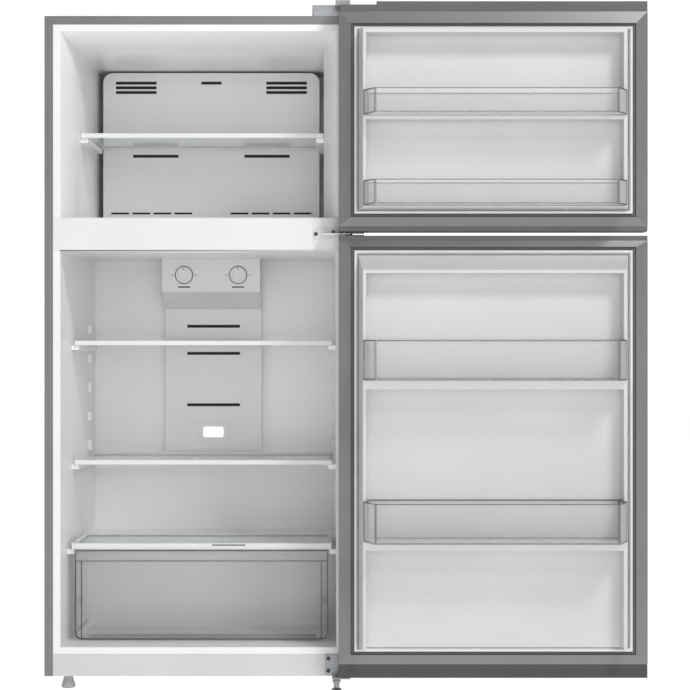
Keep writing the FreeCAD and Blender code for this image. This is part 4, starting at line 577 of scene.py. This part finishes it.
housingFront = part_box("control_housing")[0][1]
for node in ("freezer_dial", "fridge_dial"):
    low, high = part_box(node)
    centreX, centreZ = (low[0] + high[0]) / 2, (low[2] + high[2]) / 2
    radius = (high[0] - low[0]) / 2
    words = node.split("_")
    startFresh()
    bpy.ops.mesh.primitive_cylinder_add(vertices=64, radius=radius, depth=dial["depth"],
                                        location=(centreX, housingFront - dial["stand"], centreZ),
                                        rotation=(math.radians(90), 0, 0))
    bpy.ops.object.transform_apply(location=True, rotation=True, scale=True)
    knob = roundEdges(bpy.context.object, dial["round"], 3,
                      lambda edge: edge.verts[0].co.y < housingFront - dial["roundReach"])
    edit(knob)
    pick(knob, lambda face: face.normal.y < -0.99 and face.calc_area() > dial["faceArea"])
    bpy.ops.mesh.inset(thickness=dial["dishEdge"], depth=0)
    bpy.ops.mesh.inset(thickness=dial["dishSlope"], depth=-dial["dish"])
    settle(knob, words[0] + "Dial", ["white_plastic"])
    placed(knob, node, "white_plastic", node)
    # painted shade: a dark grey bar stands for the pointer notch at the top of the dial
    pointer = box((centreX - dial["notchWidth"] / 2, housingFront - dial["notchFront"],
                   centreZ + radius - dial["notchLength"] - dial["notchEnd"]),
                  (centreX + dial["notchWidth"] / 2, housingFront - dial["notchBack"],
                   centreZ + radius - dial["notchGap"]))
    roundEdges(pointer, dial["notchRound"], 1)
    settle(pointer, words[0] + "DialPointer", ["markInk"])
    placed(pointer, node, "dark_plastic")
    # painted shade: a flattened dark ring in the gap round the dial, where the gap lies in shade
    startFresh()
    bpy.ops.mesh.primitive_torus_add(major_radius=radius + dial["gap"], minor_radius=dial["ringRadius"],
                                     major_segments=72, minor_segments=8,
                                     location=(centreX, housingFront, centreZ),
                                     rotation=(math.radians(90), 0, 0))
    bpy.ops.object.transform_apply(location=True, rotation=True, scale=True)
    ring = bpy.context.object
    edit(ring, "VERT")
    pick(ring, lambda vert: vert.co.y > housingFront, "verts")
    bpy.ops.transform.resize(value=(1, dial["ringFlat"], 1),
                             center_override=(centreX, housingFront, centreZ))
    settle(ring, words[0] + "DialRing", ["sealFin"], 60)
    placed(ring, "cabinet", "white_plastic")
    for side in (-1, 1):
        at = centreX + side * (radius + dial["tickGap"] + dial["tickLength"] / 2)
        inkMark((at, housingFront, centreZ), dial["tickLength"], dial["tickHeight"],
                words[0] + ("Low" if side < 0 else "High") + "Tick")
    inkMark((centreX, housingFront, centreZ - dial["barDrop"]), dial["barWidth"], dial["barHeight"],
            words[0] + "ScaleBar")

# the air strip that closes the front of the fresh food ceiling
strip = {"width": 0.235, "depth": 0.03, "height": 0.004, "setback": 0.02, "clear": 0.0002,
         "round": 0.0012}
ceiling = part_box("control_housing")[1][2]
stripMiddle = middle("control_housing")[0]
stripFront = cabinetLow[1] + strip["setback"]
ceilingStrip = box((stripMiddle - strip["width"] / 2, stripFront, ceiling - strip["height"]),
                   (stripMiddle + strip["width"] / 2, stripFront + strip["depth"],
                    ceiling - strip["clear"]))
roundEdges(ceilingStrip, strip["round"], 2)
settle(ceilingStrip, "ceilingAirStrip", ["white_enamel"])
placed(ceilingStrip, "cabinet", "white_plastic")
print("controls made")


# door seals and the crowned steel rims around them

seal = {"wall": 0.0006,
        "finReach": 0.0072,  # how far in from its border the darker outer fin reaches
        # how far each step goes inwards and how far it rises, from the outer edge to the inner one
        "profile": ((0.0008, 0.0025), (0.0042, 0.0008), (0.0012, -0.0022), (0.0010, 0.0062),
                    (0.0018, 0.0032), (0.0034, 0.0003), (0.0022, -0.0026), (0.0012, -0.0050))}
rim = {"lift": 0.0003, "roll": 0.0008, "crown": 0.0074, "clear": 0.0007, "wall": 0.0003}
for door in ("freezer", "fridge"):
    low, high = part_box(f"{door}_door_gasket")
    sealRing = framedPlane(low, high, high[1])
    for inwards, rise in seal["profile"]:
        bpy.ops.mesh.inset(thickness=inwards, depth=rise)
    giveWall(sealRing, seal["wall"])
    # painted shade: the faces near the seal's border take the darker grey of the fin's shade
    for polygon in sealRing.data.polygons:
        centre = polygon.center
        edgeGap = min(centre.x - low[0], high[0] - centre.x, centre.z - low[2], high[2] - centre.z)
        polygon.material_index = 1 if edgeGap < seal["finReach"] else 0
    settle(sealRing, door + "DoorSeal", ["gasket_rubber", "sealFin"], 50)
    placed(sealRing, f"{door}_door", "gasket_rubber", f"{door}_door_gasket")

    skinLow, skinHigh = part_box(f"{door}_door_skin")
    rimRing = framedPlane(skinLow, skinHigh, high[1] - rim["lift"])
    bpy.ops.mesh.inset(thickness=rim["roll"], depth=rim["lift"])
    bpy.ops.mesh.inset(thickness=rim["roll"], depth=rim["crown"])
    inner = [(skinHigh[i] - skinLow[i]) / 2 - 2 * rim["roll"] for i in range(3)]
    opening = [(high[i] - low[i]) / 2 + rim["clear"] for i in range(3)]
    skinMiddle = [(skinLow[i] + skinHigh[i]) / 2 for i in range(3)]
    bpy.ops.transform.resize(value=(opening[0] / inner[0], 1, opening[2] / inner[2]),
                             center_override=skinMiddle)
    bpy.ops.transform.translate(value=((low[0] + high[0]) / 2 - skinMiddle[0], 0,
                                       (low[2] + high[2]) / 2 - skinMiddle[2]))
    giveWall(rimRing, rim["wall"])
    settle(rimRing, door + "DoorRim", ["inox_steel"], 20)
    placed(rimRing, f"{door}_door", "inox_steel")
print("seals and rims made")


# stage: floor, backdrop, light and camera

view = {"back": 4.43, "height": 0.85, "fromCabinet": 0.363, "lens": 93.67, "shift": -0.5 / 690,
        "farthest": 60}
viewX = cabinetMiddle + view["fromCabinet"]
bpy.ops.object.camera_add(location=(viewX, cabinetLow[1] - view["back"], view["height"]),
                          rotation=(math.radians(90), 0, 0))
camera = bpy.context.object
camera.data.lens = view["lens"]
camera.data.shift_x = view["shift"]
camera.data.clip_end = view["farthest"]
bpy.context.scene.camera = camera

studio = {"floor": 40, "floorGrey": "#909090", "floorGlow": 0.96, "worldLight": 0.15, "worldSeen": 1.05}
bpy.ops.mesh.primitive_plane_add(size=studio["floor"], location=(0, 0, 0))
floor = bpy.context.object
floor.name = "studioFloor"
floorMaterial, tree = newMaterial("PaleStudioFloor")
shader = addNode(tree, "ShaderNodeBsdfPrincipled",
                 {"Base Color": toLinear(studio["floorGrey"]), "Roughness": 0.9,
                  "Emission Color": (1, 1, 1, 1), "Emission Strength": studio["floorGlow"]})
addNode(tree, "ShaderNodeOutputMaterial", links={"Surface": shader.outputs["BSDF"]})
floor.data.materials.append(floorMaterial)

lights = {
    "frontFill": dict(place=(0.3, -5.4, 1.5), aim=(0, 0, 0.85), size=2.4, power=57),
    "keySoft": dict(place=(2.7, -4.4, 5.6), aim=(-0.1, 0, 0.9), size=1.4, power=215),
}
for name, light in lights.items():
    bpy.ops.object.light_add(type="AREA", location=light["place"])
    lamp = bpy.context.object
    lamp.name = name
    lamp.data.size = light["size"]
    lamp.data.energy = light["power"]
    direction = Vector(light["aim"]) - Vector(light["place"])
    lamp.rotation_euler = direction.to_track_quat("-Z", "Y").to_euler()
world = bpy.data.worlds.new("studio")
bpy.context.scene.world = world
world.use_nodes = True
tree = world.node_tree
tree.nodes.clear()
# seen directly the room is white, but it lights the object only softly
path = addNode(tree, "ShaderNodeLightPath")
strength = addNode(tree, "ShaderNodeMapRange",
                   {"To Min": studio["worldLight"], "To Max": studio["worldSeen"]},
                   {"Value": path.outputs["Is Camera Ray"]})
backdrop = addNode(tree, "ShaderNodeBackground", {"Color": (1, 1, 1, 1)},
                   {"Strength": strength.outputs["Result"]})
addNode(tree, "ShaderNodeOutputWorld", links={"Surface": backdrop.outputs["Background"]})
bpy.context.scene.view_settings.view_transform = "Standard"
startFresh()
print("stage set")
